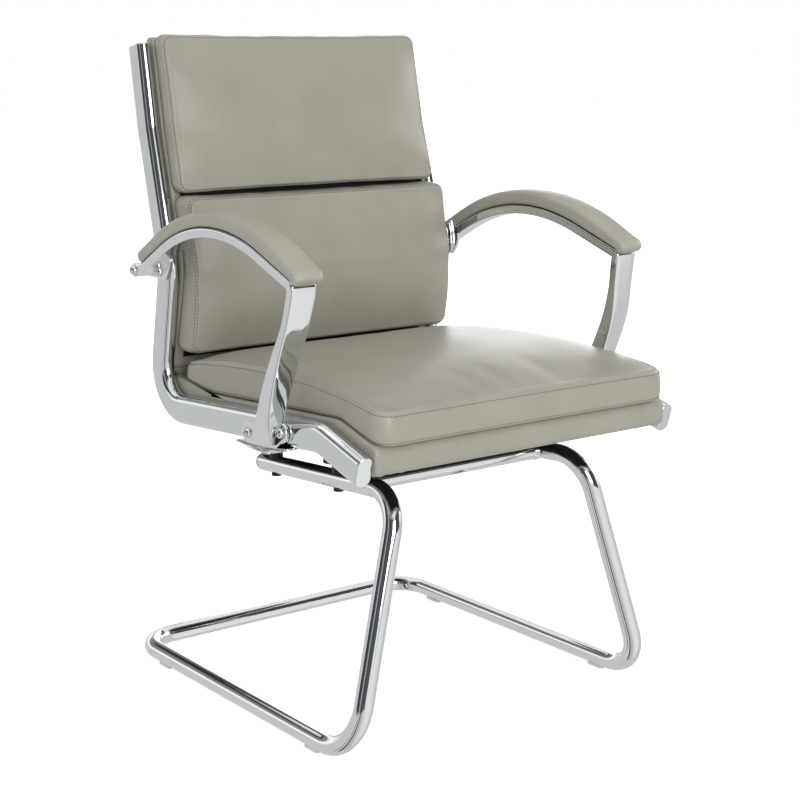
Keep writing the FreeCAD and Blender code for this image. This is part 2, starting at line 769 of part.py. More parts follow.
# share of the way down, growth outwards, width, share of the way back, depth
UPRIGHT_STATIONS = (
    (0.17, 1.5, 33.5, 0.07, 12.0),
    (0.36, 3.0, 31.0, 0.22, 14.0),
    (0.60, 4.5, 25.5, 0.47, 20.0),
    (0.78, 3.0, 23.0, 0.68, 31.0),
    (0.90, -4.0, 21.0, 0.85, 39.0),
    (1.00, -14.0, 12.0, 1.00, 44.0),
)


def arm_edges():
    """Centre line of the bow from its tail to the top of the upright."""
    x = amount(ARM_OUTER + " - arm_width/2")
    return bent_edges((
        (spot(x, "arm_tail_y", "arm_tail_z"), 0),
        (spot(x, "arm_rear_bend_y", "arm_peak_z"), amount("arm_rear_radius")),
        (spot(x, "arm_front_bend_y", "arm_peak_z"), amount("arm_front_radius")),
        (spot(x, "arm_corner_y", "arm_corner_z"), amount("arm_corner_radius")),
        (spot(x, "upright_top_y", "upright_top_z"), 0),
    ))


def pad_edges():
    """Centre line under the pad: the bow's, led straight on past its corner."""
    edges = arm_edges()[:4]
    corner = spot(amount(ARM_OUTER + " - arm_width/2"), "arm_corner_y", "arm_corner_z")
    start = edges[-1].Vertexes[-1].Point
    ahead = (corner - start).normalize() * amount("pad_nose_overhang")
    return edges + [Part.LineSegment(start, corner + ahead).toShape()]


BOW_STEPS = 400
BAR_STEPS = 16
PAD_STEPS = 14
bow_points = Part.Wire(arm_edges()[:5]).discretize(Number=BOW_STEPS + 1)
pad_points = Part.Wire(pad_edges()).discretize(Number=BOW_STEPS + 1)


def bow_frame(points, share):
    """Point, direction and upward normal at a share of a line's length."""
    index = min(round(share * BOW_STEPS), BOW_STEPS)
    before, after = points[max(index - 1, 0)], points[min(index + 1, BOW_STEPS)]
    direction = (after - before).normalize()
    return points[index], direction, direction.cross(ACROSS)


def bow_inner(y, start):
    """Inner side of the bow: it leaves room for the rail towards its tail."""
    front, rear = amount("arm_taper_front_y"), amount("arm_taper_rear_y")
    share = min(max((y - front) / (rear - front), 0.0), 1.0)
    return start + (amount(FLANGE_X) - start) * share


def arm_bow():
    """The curved bar, wider at the front than beside the rail."""
    outer = amount(ARM_OUTER)
    start = amount(ARM_OUTER + " - arm_width")
    sections = []
    for number in range(BAR_STEPS + 1):
        at, _, upward = bow_frame(bow_points, number / BAR_STEPS)
        inner = bow_inner(at.y, start)
        centre = FreeCAD.Vector((outer + inner) / 2, at.y, at.z)
        sections.append(box_profile(centre, ACROSS, upward, outer - inner,
                                    amount("arm_height"), amount("arm_edge")))
    return Part.makeLoft(sections, True, False)


def arm_upright():
    """Corner of the bow and the upright that turns into the front foot."""
    edges = arm_edges()
    start, _, upward = bow_frame(bow_points, 1.0)
    width, height, edge = (amount(name) for name in ("arm_width", "arm_height", "arm_edge"))
    bend = swept(edges[5:], box_profile(start, ACROSS, upward, width, height, edge))
    tip = edges[-1].Vertexes[-1].Point
    down = (tip - edges[-1].Vertexes[0].Point).normalize()
    sections = [box_profile(tip, ACROSS, down.cross(ACROSS), width, height, edge)]
    foot_y = amount("foot_front_y/2 + foot_rear_y/2 - upright_foot_lead")
    foot_z = amount("upright_foot_z")
    outer = amount(ARM_OUTER)
    for share, growth, wide, lean, depth in UPRIGHT_STATIONS:
        centre = FreeCAD.Vector(outer + growth - wide / 2,
                                tip.y + lean * (foot_y - tip.y),
                                tip.z + share * (foot_z - tip.z))
        sections.append(box_profile(centre, ACROSS, FORWARD, wide, depth, edge))
    return bend.fuse(Part.makeLoft(sections, True, False))


def foot_flange():
    """Plate on the rail's side with two ears and a rounded belly."""
    x, thick = amount(FLANGE_X), amount("flange_thickness")
    ear, belly = amount("foot_ear"), amount("foot_belly")
    front, rear = [spot(x, y, z) for y, z in RAIL_BOLTS[:2]]
    rail_low = amount(rail_line("foot_front_y/2 + foot_rear_y/2") + " - rail_depth/2")
    middle = FreeCAD.Vector(x, (front.y + rear.y) / 2, rail_low - belly)
    outline = Part.Wire([
        Part.Arc(front + UP * ear, front + FORWARD * ear, front - UP * ear).toShape(),
        Part.Arc(front - UP * ear, middle, rear - UP * ear).toShape(),
        Part.Arc(rear - UP * ear, rear - FORWARD * ear, rear + UP * ear).toShape(),
        Part.LineSegment(rear + UP * ear, front + UP * ear).toShape(),
    ])
    plate = Part.Face(outline).extrude(ACROSS * thick)
    rim = [edge for edge in plate.Edges if edge.BoundBox.XMin > x + thick / 2]
    return plate.makeFillet(amount("flange_edge"), rim)


def foot_lip():
    """Lens-shaped lip of the foot under the rail."""
    start = amount(FLANGE_OUT + " - lip_width")
    drop = " - rail_depth/2 - flange_gap"
    front_y, rear_y = "foot_front_y - lip_reach/2", "foot_rear_y + lip_reach"
    front = spot(start, front_y, rail_line(front_y) + drop)
    rear = spot(start, rear_y, rail_line(rear_y) + drop)
    middle = (front + rear) * 0.5 - UP * amount("foot_belly")
    outline = Part.Wire([Part.Arc(front, middle, rear).toShape(),
                         Part.LineSegment(rear, front).toShape()])
    return Part.Face(outline).extrude(ACROSS * amount("lip_width"))


def rear_foot():
    """Web under the bow's tail, and the eye at its end for the cross rod."""
    x = amount(FLANGE_X)
    radius, reach = amount("eye_radius"), amount("web_reach")
    over_eye = spot(x, CROSSROD_Y, REAR_BOLT_Z)
    under_eye = over_eye - UP * radius
    near = FreeCAD.Vector(x, amount(REAR_BOLT_Y) - reach, under_eye.z)
    high = near + FORWARD * reach + UP * amount("web_height")
    middle = (high + near) * 0.5 - FORWARD * (reach / 3) + UP * (reach / 8)
    outline = Part.Wire([
        Part.Arc(high, middle, near).toShape(),
        Part.LineSegment(near, under_eye).toShape(),
        Part.LineSegment(under_eye, over_eye).toShape(),
        Part.LineSegment(over_eye, high).toShape(),
    ])
    web = Part.Face(outline).extrude(ACROSS * amount("flange_thickness"))
    return web.fuse(along_x(2 * radius, over_eye, amount(ARM_OUTER) - x))


def bolt_places():
    """Where the heads of one arm's bolts sit: front foot, then rear foot."""
    on_rail = [spot(FLANGE_OUT, y, z) for y, z in RAIL_BOLTS]
    return on_rail[:2], [on_rail[2], spot(ARM_OUTER, CROSSROD_Y, REAR_BOLT_Z)]


def arm_frame():
    """The whole casting, with seats and holes for its bolts."""
    x = amount(FLANGE_X)
    far = 2 * x
    beside_back = Part.makeBox(far, far, 2 * far,
                               spot(x - far, "arm_taper_rear_y", 0))
    beside_seat = Part.makeBox(far, far, amount("rail_knee_z + rail_depth/2"),
                               FreeCAD.Vector(x - far, -far, 0))
    body = arm_bow().fuse([arm_upright(), foot_flange(), rear_foot()])
    heads = bolt_places()[0] + bolt_places()[1][:1]
    seats = [along_x(amount("bolt_seat"), place, far) for place in heads]
    body = body.cut([beside_back, beside_seat] + seats).fuse(foot_lip())
    for place in bolt_places()[0] + bolt_places()[1]:
        start = FreeCAD.Vector(x - 1, place.y, place.z)
        body = body.cut(along_x(amount(HOLE), start, far))
    return body.removeSplitter()


def dome_bolt(place, shank):
    """A bolt with a domed head, its shank pointing at the chair's middle."""
    radius, high = amount("bolt_head/2"), amount("bolt_head_height")
    crown = (radius ** 2 + high ** 2) / (2 * high)
    ball = Part.makeSphere(crown, place + ACROSS * (high - crown))
    head = along_x(2 * radius, place, high).common(ball)
    return head.fuse(along_x(amount("bolt_diameter"), place - ACROSS * shank, shank))


def arm_bolts():
    """Front and rear bolts of one arm, as two groups."""
    front, rear = bolt_places()
    into_rail = amount("flange_thickness + flange_gap + rail_wall + bolt_diameter")
    into_rod = amount("arm_stand - flange_gap + bolt_diameter")
    fronts = Part.makeCompound([dome_bolt(place, into_rail) for place in front])
    both_sides("arm_front_bolts", fronts, toe=True)
    rear_pair = [dome_bolt(rear[0], into_rail), dome_bolt(rear[1], into_rod)]
    both_sides("arm_rear_bolts", Part.makeCompound(rear_pair), toe=True)


# Arm pads

def bow_layer(points, low, tops, inset, crown):
    """A crowned layer over a line, between heights above it."""
    first, last = amount("pad_tail_share"), 1.0
    outer = amount(ARM_OUTER + " + pad_overhang") - inset
    start = amount(ARM_OUTER + " - arm_width - pad_inner_reach")
    sections = []
    for number in range(PAD_STEPS + 1):
        share = number / PAD_STEPS
        at, direction, upward = bow_frame(points, first + (last - first) * share)
        inner = bow_inner(at.y, start) + inset
        top = tops[0] + (tops[1] - tops[0]) * share
        nose = amount("pad_nose_reach") / amount("pad_front_height") * max(4 * share - 3, 0.0)
        rise = upward + direction * nose
        base = at + upward * low
        crest = base + rise * (top - low - crown)
        sections.append(crowned_profile(
            FreeCAD.Vector(inner, base.y, base.z), FreeCAD.Vector(outer, base.y, base.z),
            FreeCAD.Vector(outer - crown / 2, crest.y, crest.z),
            FreeCAD.Vector(inner + crown / 2, crest.y, crest.z),
            crown / 4, rise * crown))
    return Part.makeLoft(sections, True, False)


def arm_pads():
    """Moulded pads, thicker towards the nose, each on a thin board."""
    low = amount("arm_height/2 + pad_board_height + 2*layer_gap")
    tops = [low + amount(name) for name in ("pad_rear_height", "pad_front_height")]
    pad_shape = bow_layer(pad_points, low, tops, 0.0, amount("pad_crown"))
    both_sides("arm_pad", pad_shape, toe=True)
    low = amount("arm_height/2 + layer_gap")
    top = low + amount("pad_board_height")
    board = bow_layer(bow_points, low, [top, top], amount("pad_board_inset"), 0.1)
    both_sides("arm_pad_board", board, toe=True)


# Cross members

def back_crossrod():
    """Rod behind the back, from the eye of one arm to the other's."""
    body = new_body("back_crossrod")
    section = plane_sketch(body, "crossrod_section", "YZ_Plane")
    ring(section, CROSSROD_Y, REAR_BOLT_Z, "crossrod_diameter", "outer")
    ring(section, CROSSROD_Y, REAR_BOLT_Z, HOLE, "inner")
    inwards = f"rail_toe*({CROSSROD_Y} - rail_front_y + crossrod_diameter/2)"
    pad(body, "crossrod_run", section, f"2*({RAIL_SIDE} - {inwards})", symmetric=True)


def seat_crossbar(end):
    """Black rectangular tube between the sled's spacers and the dust cover."""
    body = new_body(f"seat_crossbar_{end}")
    section = plane_sketch(body, f"crossbar_section_{end}", "YZ_Plane")
    for name, wall, radius in (("outer", "0", "crossbar_corner"),
                               ("inner", "crossbar_wall", "crossbar_corner/2")):
        front = f"crossbar_{end}_y - crossbar_width/2 + {wall}"
        rear = f"crossbar_{end}_y + crossbar_width/2 - {wall}"
        low = f" + tube_diameter/2 + spacer_height + {wall}"
        top = f" - seat_drop - 2*layer_gap - cover_thickness - {wall}"
        rounded_line(section, (
            (front, sled_line(front) + low, radius),
            (rear, sled_line(rear) + low, radius),
            (rear, rail_line(rear) + top, radius),
            (front, rail_line(front) + top, radius),
        ), closed=True, prefix=name)
    length = "sled_top_gauge + 2*crossbar_overhang"
    pad(body, f"crossbar_{end}_run", section, length, symmetric=True)
    holes = plane_sketch(body, f"crossbar_holes_{end}", "XY_Plane", "sled_top_z")
    for side, sign in SIDES:
        ring(holes, f"{sign}*sled_top_gauge/2", f"crossbar_{end}_y", HOLE, side)
    pad(body, f"crossbar_{end}_drilling", holes, "crossbar_width",
        backwards=True, kind="Pocket")


# Sled base

def sled_corners():
    """Corners of the sled tube from its right end round to its left end."""
    half = (
        ("sled_top_gauge/2", "sled_end_y", "sled_end_z", "0"),
        ("sled_top_gauge/2", "sled_top_y", "sled_top_z", "sled_top_radius"),
        ("sled_front_gauge/2", "sled_front_y", SLED_FLOOR_Z, "sled_front_radius"),
        ("sled_rear_gauge/2", "sled_rear_y", SLED_FLOOR_Z, "sled_rear_radius"),
    )
    right = [(spot("-1*" + x, y, z), amount(r)) for x, y, z, r in half]
    left = [(spot(x, y, z), amount(r)) for x, y, z, r in half]
    return right + left[::-1]


def sled_core(diameter):
    """The sled's run filled to a diameter."""
    edges = bent_edges(sled_corners())
    first, after = (vertex.Point for vertex in edges[0].Vertexes)
    return swept(edges, round_profile(first, after - first, diameter))


def upright_cylinder(place, low, high, diameter):
    """A vertical cylinder between two heights over a place."""
    return Part.makeCylinder(diameter / 2, high - low, place + UP * low)


def sled_base():
    """Bent tube, drilled for its bolts, and what is fitted round it."""
    outer = sled_core(amount("tube_diameter"))
    bore = sled_core(amount("tube_diameter - 2*tube_wall"))
    radius = amount("tube_diameter/2")
    places = [spot(f"{sign}*sled_top_gauge/2", f"crossbar_{end}_y",
                   sled_line(f"crossbar_{end}_y"))
              for end in ("front", "rear") for _, sign in SIDES]
    drills = [upright_cylinder(p, -2 * radius, 2 * radius, amount(HOLE)) for p in places]
    plain_feature("sled_frame", outer.cut([bore] + drills))

    spacers = []
    bolts = []
    for place, drill in zip(places, drills):
        top = radius + amount("spacer_height - 2*layer_gap")
        spacer = upright_cylinder(place, 0, top, amount("spacer_diameter")).cut([outer, drill])
        spacers.append(max(spacer.Solids, key=lambda solid: solid.CenterOfMass.z))
        low = -radius - amount("bolt_head_height/2")
        head = upright_cylinder(place, low, 0, amount("bolt_head")).cut(outer)
        head = min(head.Solids, key=lambda solid: solid.CenterOfMass.z)
        tip = radius + amount("spacer_height + crossbar_wall + bolt_diameter")
        shank = upright_cylinder(place, low, tip, amount("bolt_diameter"))
        bolts.append(head.fuse(shank).removeSplitter())
    plain_feature("sled_spacers", Part.makeCompound(spacers))
    plain_feature("sled_bolts", Part.makeCompound(bolts))
    sled_crosstube(outer)
    floor_glides(outer)


def sled_crosstube(outer):
    """Cross tube coped on to the inner sides of the upper tubes."""
    half = amount("sled_top_gauge/2")
    start = spot(-half, "sled_cross_y", sled_line("sled_cross_y"))
    tube = along_x(amount("tube_diameter"), start, 2 * half)
    bore = along_x(amount("tube_diameter - 2*tube_wall"), start, 2 * half)
    coped = tube.cut([bore, outer])
    plain_feature("sled_crosstube", max(coped.Solids, key=lambda solid: solid.Volume))


def floor_glides(outer):
    """Four plastic glides that cradle the runners."""
    length, width = amount("glide_length"), amount("glide_width")
    front_x, rear_x = amount("sled_front_gauge/2"), amount("sled_rear_gauge/2")
    front_y, rear_y = amount("sled_front_y"), amount("sled_rear_y")
    blocks = []
    for name in ("glide_front_y", "glide_rear_y"):
        y = amount(name)
        x = front_x + (rear_x - front_x) * (y - front_y) / (rear_y - front_y)
        for _, sign in SIDES:
            corner = FreeCAD.Vector(sign * x - width / 2, y - length / 2, 0)
            block = Part.makeBox(width, length, amount("glide_height + glide_wrap"), corner)
            upright = [edge for edge in block.Edges if edge.BoundBox.ZLength > 1.0]
            blocks.append(block.makeFillet(amount("glide_height"), upright).cut(outer))
    plain_feature("floor_glides", Part.makeCompound(blocks))


def sled_end_caps():
    """Domed plugs in the upper tubes' rear ends."""
    end = spot("sled_top_gauge/2", "sled_end_y", "sled_end_z")
    out = (end - spot("sled_top_gauge/2", "sled_top_y", "sled_top_z")).normalize()
    radius, high = amount("tube_diameter/2"), amount("end_cap_length")
    crown = (radius ** 2 + high ** 2) / (2 * high)
    dome = Part.makeSphere(crown, end + out * (high - crown)).common(
        Part.makeCylinder(radius, high, end, out))
    plug_length = amount("cap_plug")
    plug = Part.makeCylinder(amount("tube_diameter/2 - tube_wall - cap_fit"), plug_length,
                             end - out * plug_length, out)
    both_sides("sled_end_cap", dome.fuse(plug))


for side, sign in SIDES:
    side_rail(side, sign)
    for cap in RAIL_ENDS:
        rail_cap(side, sign, *cap)
back_shell()
seat_shell()
back_lining()
seat_dust_cover()
back_cushion("upper")
back_cushion("lower")
seat_cushion()
both_sides("arm_frame", arm_frame(), toe=True)
arm_bolts()
arm_pads()
back_crossrod()
seat_crossbar("front")
seat_crossbar("rear")
sled_base()
sled_end_caps()
doc.recompute()

# Checks, then one file per sub-part

for item in doc.Objects:
    if {"Invalid", "Error"} & set(item.State):
        raise RuntimeError(f"{item.Label}: {item.State}")
for part in sub_parts:
    if part.Shape.isNull() or not part.Shape.isValid() or not part.Shape.Solids:
        raise RuntimeError(f"{part.Label}: no valid solid")
os.makedirs("parts", exist_ok=True)
for part in sub_parts:
    part.Shape.exportStep(f"parts/{part.Label}.step")
    box = part.Shape.BoundBox
    print(part.Label, len(part.Shape.Solids), round(part.Shape.Volume),
          [round(v, 1) for v in (box.XMin, box.XMax, box.YMin, box.YMax, box.ZMin, box.ZMax)])
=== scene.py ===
"""Looks of a cantilever visitor chair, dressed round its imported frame.

Metres. The origin is on the floor in the middle of the footprint, +Z is up,
the front of the chair faces -Y and the sitter's right hand is towards -X.
"""
from __future__ import annotations

import logging
import math
from dataclasses import dataclass, field
from enum import Enum
from typing import Callable, Sequence
import bmesh
import bpy
import numpy as np
from mathutils import Matrix, Vector


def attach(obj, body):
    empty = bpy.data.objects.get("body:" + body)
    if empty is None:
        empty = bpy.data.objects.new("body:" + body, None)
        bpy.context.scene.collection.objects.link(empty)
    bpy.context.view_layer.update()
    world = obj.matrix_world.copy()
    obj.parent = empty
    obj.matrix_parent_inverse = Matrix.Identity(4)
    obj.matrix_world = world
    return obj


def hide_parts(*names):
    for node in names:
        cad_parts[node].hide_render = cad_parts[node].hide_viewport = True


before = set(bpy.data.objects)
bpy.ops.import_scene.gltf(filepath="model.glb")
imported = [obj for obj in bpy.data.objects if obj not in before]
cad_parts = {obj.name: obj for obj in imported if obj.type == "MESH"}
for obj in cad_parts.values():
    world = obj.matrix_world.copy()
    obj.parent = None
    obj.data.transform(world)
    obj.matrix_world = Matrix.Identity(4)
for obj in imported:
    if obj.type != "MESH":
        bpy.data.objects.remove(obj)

log = logging.getLogger("visitor_chair")

MM = 0.001
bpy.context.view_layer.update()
BODY = "root"
# guards a division against nothing
TINY = 1e-9


class Side(Enum):
    """The sitter's two sides, each with the sign of its X."""

    RIGHT = -1
    LEFT = 1

    @property
    def word(self) -> str:
        """Name of the side as the nodes spell it."""
        return self.name.lower()


# Toe-in and spring of the sides, in millimetres

# each side turns inwards towards the back by this slope about its rail's front end
TOE = 0.034
TOE_PLACE = (250.0, -281.0)
# above this height the back springs inwards and backwards by shares of its rise
SPRING_FROM = 400.0
SPRING_IN = 0.0085
SPRING_BACK = 0.0149
# half the width of the upholstered panels between the rails' front ends
PANEL_HALF = 238.7


def turn_in(piece: bpy.types.Object, side: Side) -> bpy.types.Object:
    """Turn a finished piece about the upright line through its rail's front end.

    Args:
        piece: Piece at the origin.
        side: Side that it belongs to.

    Returns:
        The same piece, its mesh turned.
    """
    pivot = Vector((side.value * TOE_PLACE[0], TOE_PLACE[1], 0.0)) * MM
    turn = Matrix.Rotation(side.value * math.atan(TOE), 4, "Z")
    piece.data.transform(Matrix.Translation(pivot) @ turn @ Matrix.Translation(-pivot))
    return piece


def leaned(points: np.ndarray, inwards: bool = True) -> np.ndarray:
    """Spring the tall part of the back inwards and backwards.

    Each point above the spring's foot moves in and back by a share of its rise.

    Args:
        points: Points in metres.
        inwards: Whether they also move towards the middle.

    Returns:
        The moved points.
    """
    rise = np.clip(points[..., 2] - SPRING_FROM * MM, 0.0, None)
    moved = points.copy()
    moved[..., 0] -= SPRING_IN * rise * np.sign(points[..., 0]) * inwards
    moved[..., 1] += SPRING_BACK * rise
    return moved


def narrowing(y: np.ndarray, z: np.ndarray) -> np.ndarray:
    """Width between the turned and sprung rails, as a share of the front's.

    Args:
        y: Places along the chair, in millimetres.
        z: Heights, in millimetres.

    Returns:
        One share at each place.
    """
    inwards = (TOE * np.clip(y - TOE_PLACE[1], 0.0, None)
               + SPRING_IN * np.clip(z - SPRING_FROM, 0.0, None))
    return 1 - inwards / PANEL_HALF


# Curves and profiles

# an arc has so many points for each one of a straight run, and never fewer than these
ARC_DENSITY = 4
ARC_LEAST = 12


def unit(vectors: np.ndarray) -> np.ndarray:
    """Scale each vector of an array to length one."""
    return vectors / np.linalg.norm(vectors, axis=-1, keepdims=True)


def rounded_path(corners: Sequence[Sequence[float]], radii: Sequence[float],
                 step: float) -> np.ndarray:
    """Sample straight runs joined by tangent arcs.

    An arc lies in the plane of its two runs, its centre on their bisector at
    radius / sin(half angle) from the corner.

    Args:
        corners: Corner points, first and last being the ends.
        radii: Radius at every inner corner.
        step: Distance between points on the straight runs.

    Returns:
        Points of shape (n, 3).
    """
    points = np.asarray(corners, float)
    pieces: list[np.ndarray] = []
    here = points[0]
    for before, at, after, radius in zip(points, points[1:], points[2:], radii):
        back, ahead = unit(before - at), unit(after - at)
        half = math.acos(float(np.clip(back @ ahead, -1.0, 1.0))) / 2
        reach = radius / math.tan(half)
        centre = at + unit(back + ahead) * radius / math.sin(half)
        first, last = at + back * reach, at + ahead * reach
        pieces.append(run_points(here, first, step))
        turn = math.pi - 2 * half
        count = max(int(turn * radius / step * ARC_DENSITY), ARC_LEAST)
        angles = np.linspace(0.0, turn, count, endpoint=False)[:, None]
        start = unit(first - centre)
        pieces.append(centre + radius * (np.cos(angles) * start - np.sin(angles) * back))
        here = last
    pieces.append(run_points(here, points[-1], step))
    pieces.append(points[-1:])
    return np.concatenate(pieces)


def run_points(start: np.ndarray, end: np.ndarray, step: float) -> np.ndarray:
    """Evenly spaced points from start up to, but without, end."""
    count = max(int(np.linalg.norm(end - start) / step), 1)
    return start + (end - start) * np.linspace(0.0, 1.0, count, endpoint=False)[:, None]


def read_along(at: np.ndarray, marks: np.ndarray, rows: np.ndarray) -> np.ndarray:
    """Read rows of three numbers between rising marks, one number at a time."""
    return np.stack([np.interp(at, marks, rows[:, i]) for i in range(3)], axis=1)


def path_length(path: np.ndarray) -> np.ndarray:
    """Distance along a path at each of its points."""
    steps = np.linalg.norm(np.diff(path, axis=0), axis=1)
    return np.concatenate([[0.0], np.cumsum(steps)])


def path_frame(path: np.ndarray, across: Sequence[float]) -> tuple[np.ndarray, ...]:
    """Directions along, to the side of and over a path.

    The side is the part of one fixed direction that is square to the path.

    Args:
        path: Points of shape (n, 3).
        across: A direction that the path never follows.

    Returns:
        Tangents, sides and ups, each of shape (n, 3).
    """
    tangent = unit(np.gradient(path, path_length(path), axis=0))
    fixed = np.broadcast_to(np.asarray(across, float), path.shape)
    side = unit(fixed - (fixed * tangent).sum(1, keepdims=True) * tangent)
    return tangent, side, np.cross(side, tangent)


def circle_profile(radius: float, count: int) -> np.ndarray:
    """Points round a circle, shape (count, 2)."""
    angle = np.linspace(0.0, 2 * math.pi, count, endpoint=False)
    return radius * np.stack([np.cos(angle), np.sin(angle)], axis=1)


def box_profile(width: np.ndarray, height: np.ndarray, radius: np.ndarray,
                corner_steps: int, side_steps: int) -> np.ndarray:
    """Rounded rectangles, one for each entry of the size arrays.

    Each corner is a quarter circle about a centre that is inset by the radius,
    and the straight sides get evenly spaced points.

    Args:
        width: Sizes along the first axis.
        height: Sizes along the second axis.
        radius: Corner radii.
        corner_steps: Steps in each quarter circle.
        side_steps: Steps in each straight side.

    Returns:
        Points of shape (n, 4 * (corner_steps + side_steps), 2).
    """
    width, height, radius = (np.atleast_1d(v)[:, None] for v in (width, height, radius))
    quarter = np.linspace(0.0, math.pi / 2, corner_steps + 1)
    loops = []
    for turn, right, top in ((0, 1, 1), (1, -1, 1), (2, -1, -1), (3, 1, -1)):
        angle = quarter + turn * math.pi / 2
        loops.append(np.stack([right * (width / 2 - radius) + radius * np.cos(angle),
                               top * (height / 2 - radius) + radius * np.sin(angle)], axis=2))
    shares = np.linspace(0.0, 1.0, side_steps + 1)[1:-1][None, :, None]
    rows = []
    for here, there in zip(loops, loops[1:] + loops[:1]):
        rows.append(here)
        rows.append(here[:, -1:] + (there[:, :1] - here[:, -1:]) * shares)
    return np.concatenate(rows, axis=1)


def outline_normals(outline: np.ndarray) -> np.ndarray:
    """Outward directions of a closed outline in a plane.

    Each is square to the line between a point's two neighbours, and the sign of
    the outline's area tells which way is out.

    Args:
        outline: Points of shape (n, 2).

    Returns:
        Unit vectors of shape (n, 2).
    """
    after = np.roll(outline, -1, axis=0)
    along = unit(after - np.roll(outline, 1, axis=0))
    area = (outline[:, 0] * after[:, 1] - after[:, 0] * outline[:, 1]).sum()
    return np.stack([along[:, 1], -along[:, 0]], axis=1) * math.copysign(1.0, area)


def smooth_values(knots: Sequence[float], values: Sequence, at: np.ndarray) -> np.ndarray:
    """Read a smooth curve through given values.

    A cubic Hermite curve whose slopes are the centred differences of its
    neighbours, so it passes every knot without a kink.

    Args:
        knots: Rising positions.
        values: A number or a row of numbers at every knot.
        at: Positions to read.

    Returns:
        Values at each position.
    """
    knots, values = np.asarray(knots, float), np.asarray(values, float)
    slopes = np.gradient(values, knots, axis=0)
    cell = np.clip(np.searchsorted(knots, at, side="right") - 1, 0, len(knots) - 2)
    width = knots[cell + 1] - knots[cell]
    share = np.clip((at - knots[cell]) / width, 0.0, 1.0)
    if values.ndim > 1:
        share, width = share[:, None], width[:, None]
    square, cube = share ** 2, share ** 3
    return ((2 * cube - 3 * square + 1) * values[cell]
            + (cube - 2 * square + share) * width * slopes[cell]
            + (3 * square - 2 * cube) * values[cell + 1]
            + (cube - square) * width * slopes[cell + 1])


def fade(value: np.ndarray, low: float, high: float) -> np.ndarray:
    """Rise smoothly from 0 at low to 1 at high."""
    share = np.clip((value - low) / (high - low), 0.0, 1.0)
    return share * share * (3 - 2 * share)


# Meshes

# points nearer to each other than this, in metres, are one
DOUBLES = 1e-6
# holding rings lie this far before an end, in millimetres, and at this share of its face
END_HOLD = 0.5
END_WITHIN = 0.95


def sweep(path: np.ndarray, side: np.ndarray, up: np.ndarray,
          profile: np.ndarray) -> np.ndarray:
    """Carry a profile along a path.

    Each point is path + side * first coordinate + up * second coordinate.

    Args:
        path: Points of shape (n, 3).
        side: Direction of the profile's first coordinate.
        up: Direction of the profile's second coordinate.
        profile: Shape (m, 2), or (n, m, 2) where it changes on its way.

    Returns:
        A grid of points, shape (n, m, 3).
    """
    profile = np.broadcast_to(profile, (len(path),) + profile.shape[-2:])
    return (path[:, None] + side[:, None] * profile[..., :1]
            + up[:, None] * profile[..., 1:])


def grid_quads(rows: int, columns: int, first: int = 0, ring: bool = True) -> np.ndarray:
    """Quads of a grid of points.

    Args:
        rows: Rows of the grid.
        columns: Points in each row.
        first: Number of its first point.
        ring: Whether the last column joins up with the first.

    Returns:
        Point numbers of shape (n, 4).
    """
    down = np.arange(rows - 1)[:, None] * columns + first
    along = np.arange(columns if ring else columns - 1)[None]
    after = (along + 1) % columns
    return np.stack([down + along, down + after, down + after + columns,
                     down + along + columns], axis=-1).reshape(-1, 4)


def make_piece(name: str, points: np.ndarray, faces: Sequence, material: bpy.types.Material,
               flip_check: bool = True) -> bpy.types.Object:
    """Put points and faces into a smooth mesh object at the origin.

    Args:
        name: Name of the piece.
        points: Points of shape (n, 3), in metres.
        faces: Rows of point indices.
        material: Finish of the piece.
        flip_check: Whether doubles are merged and normals turned outwards.

    Returns:
        The linked object.
    """
    mesh = bpy.data.meshes.new(name)
    mesh.from_pydata(points.reshape(-1, 3).tolist(), [], [list(map(int, f)) for f in faces])
    if flip_check:
        work = bmesh.new()
        work.from_mesh(mesh)
        bmesh.ops.remove_doubles(work, verts=work.verts, dist=DOUBLES)
        bmesh.ops.recalc_face_normals(work, faces=work.faces)
        work.to_mesh(mesh)
        work.free()
    mesh.shade_smooth()
    mesh.materials.append(material)
    made = bpy.data.objects.new(name, mesh)
    bpy.context.scene.collection.objects.link(made)
    return made


def closed_tube(name: str, grid: np.ndarray,
                material: bpy.types.Material) -> bpy.types.Object:
    """A swept grid closed by a fan at both ends.

    One ring close before each end and one close within it keep the sides and the
    end faces flat in the light right up to the edge.

    Args:
        name: Name of the piece.
        grid: Sections of shape (n, m, 3), in metres.
        material: Finish of the piece.

    Returns:
        The linked object.
    """
    beside = []
    for end, after in ((0, 1), (-1, -2)):
        step = grid[after] - grid[end]
        span = np.linalg.norm(step, axis=1).mean()
        # at most halfway to the next section
        before = grid[end] + step * min(END_HOLD * MM / max(span, TINY), 0.5)
        middle = grid[end].mean(0)
        within = middle + (grid[end] - middle) * END_WITHIN
        beside.append((within[None], grid[end][None], before[None]))
    first, final = beside
    grid = np.concatenate([*first, grid[1:-1], *final[::-1]])
    rows, columns = grid.shape[:2]
    points = np.concatenate([grid.reshape(-1, 3), grid[0].mean(0)[None],
                             grid[-1].mean(0)[None]])
    ring = np.arange(columns)
    after = (ring + 1) % columns
    last = (rows - 1) * columns
    start = np.stack([after, ring, np.full(columns, rows * columns)], axis=1)
    end = np.stack([last + ring, last + after, np.full(columns, rows * columns + 1)], axis=1)
    faces = grid_quads(rows, columns).tolist() + start.tolist() + end.tolist()
    return make_piece(name, points, faces, material)


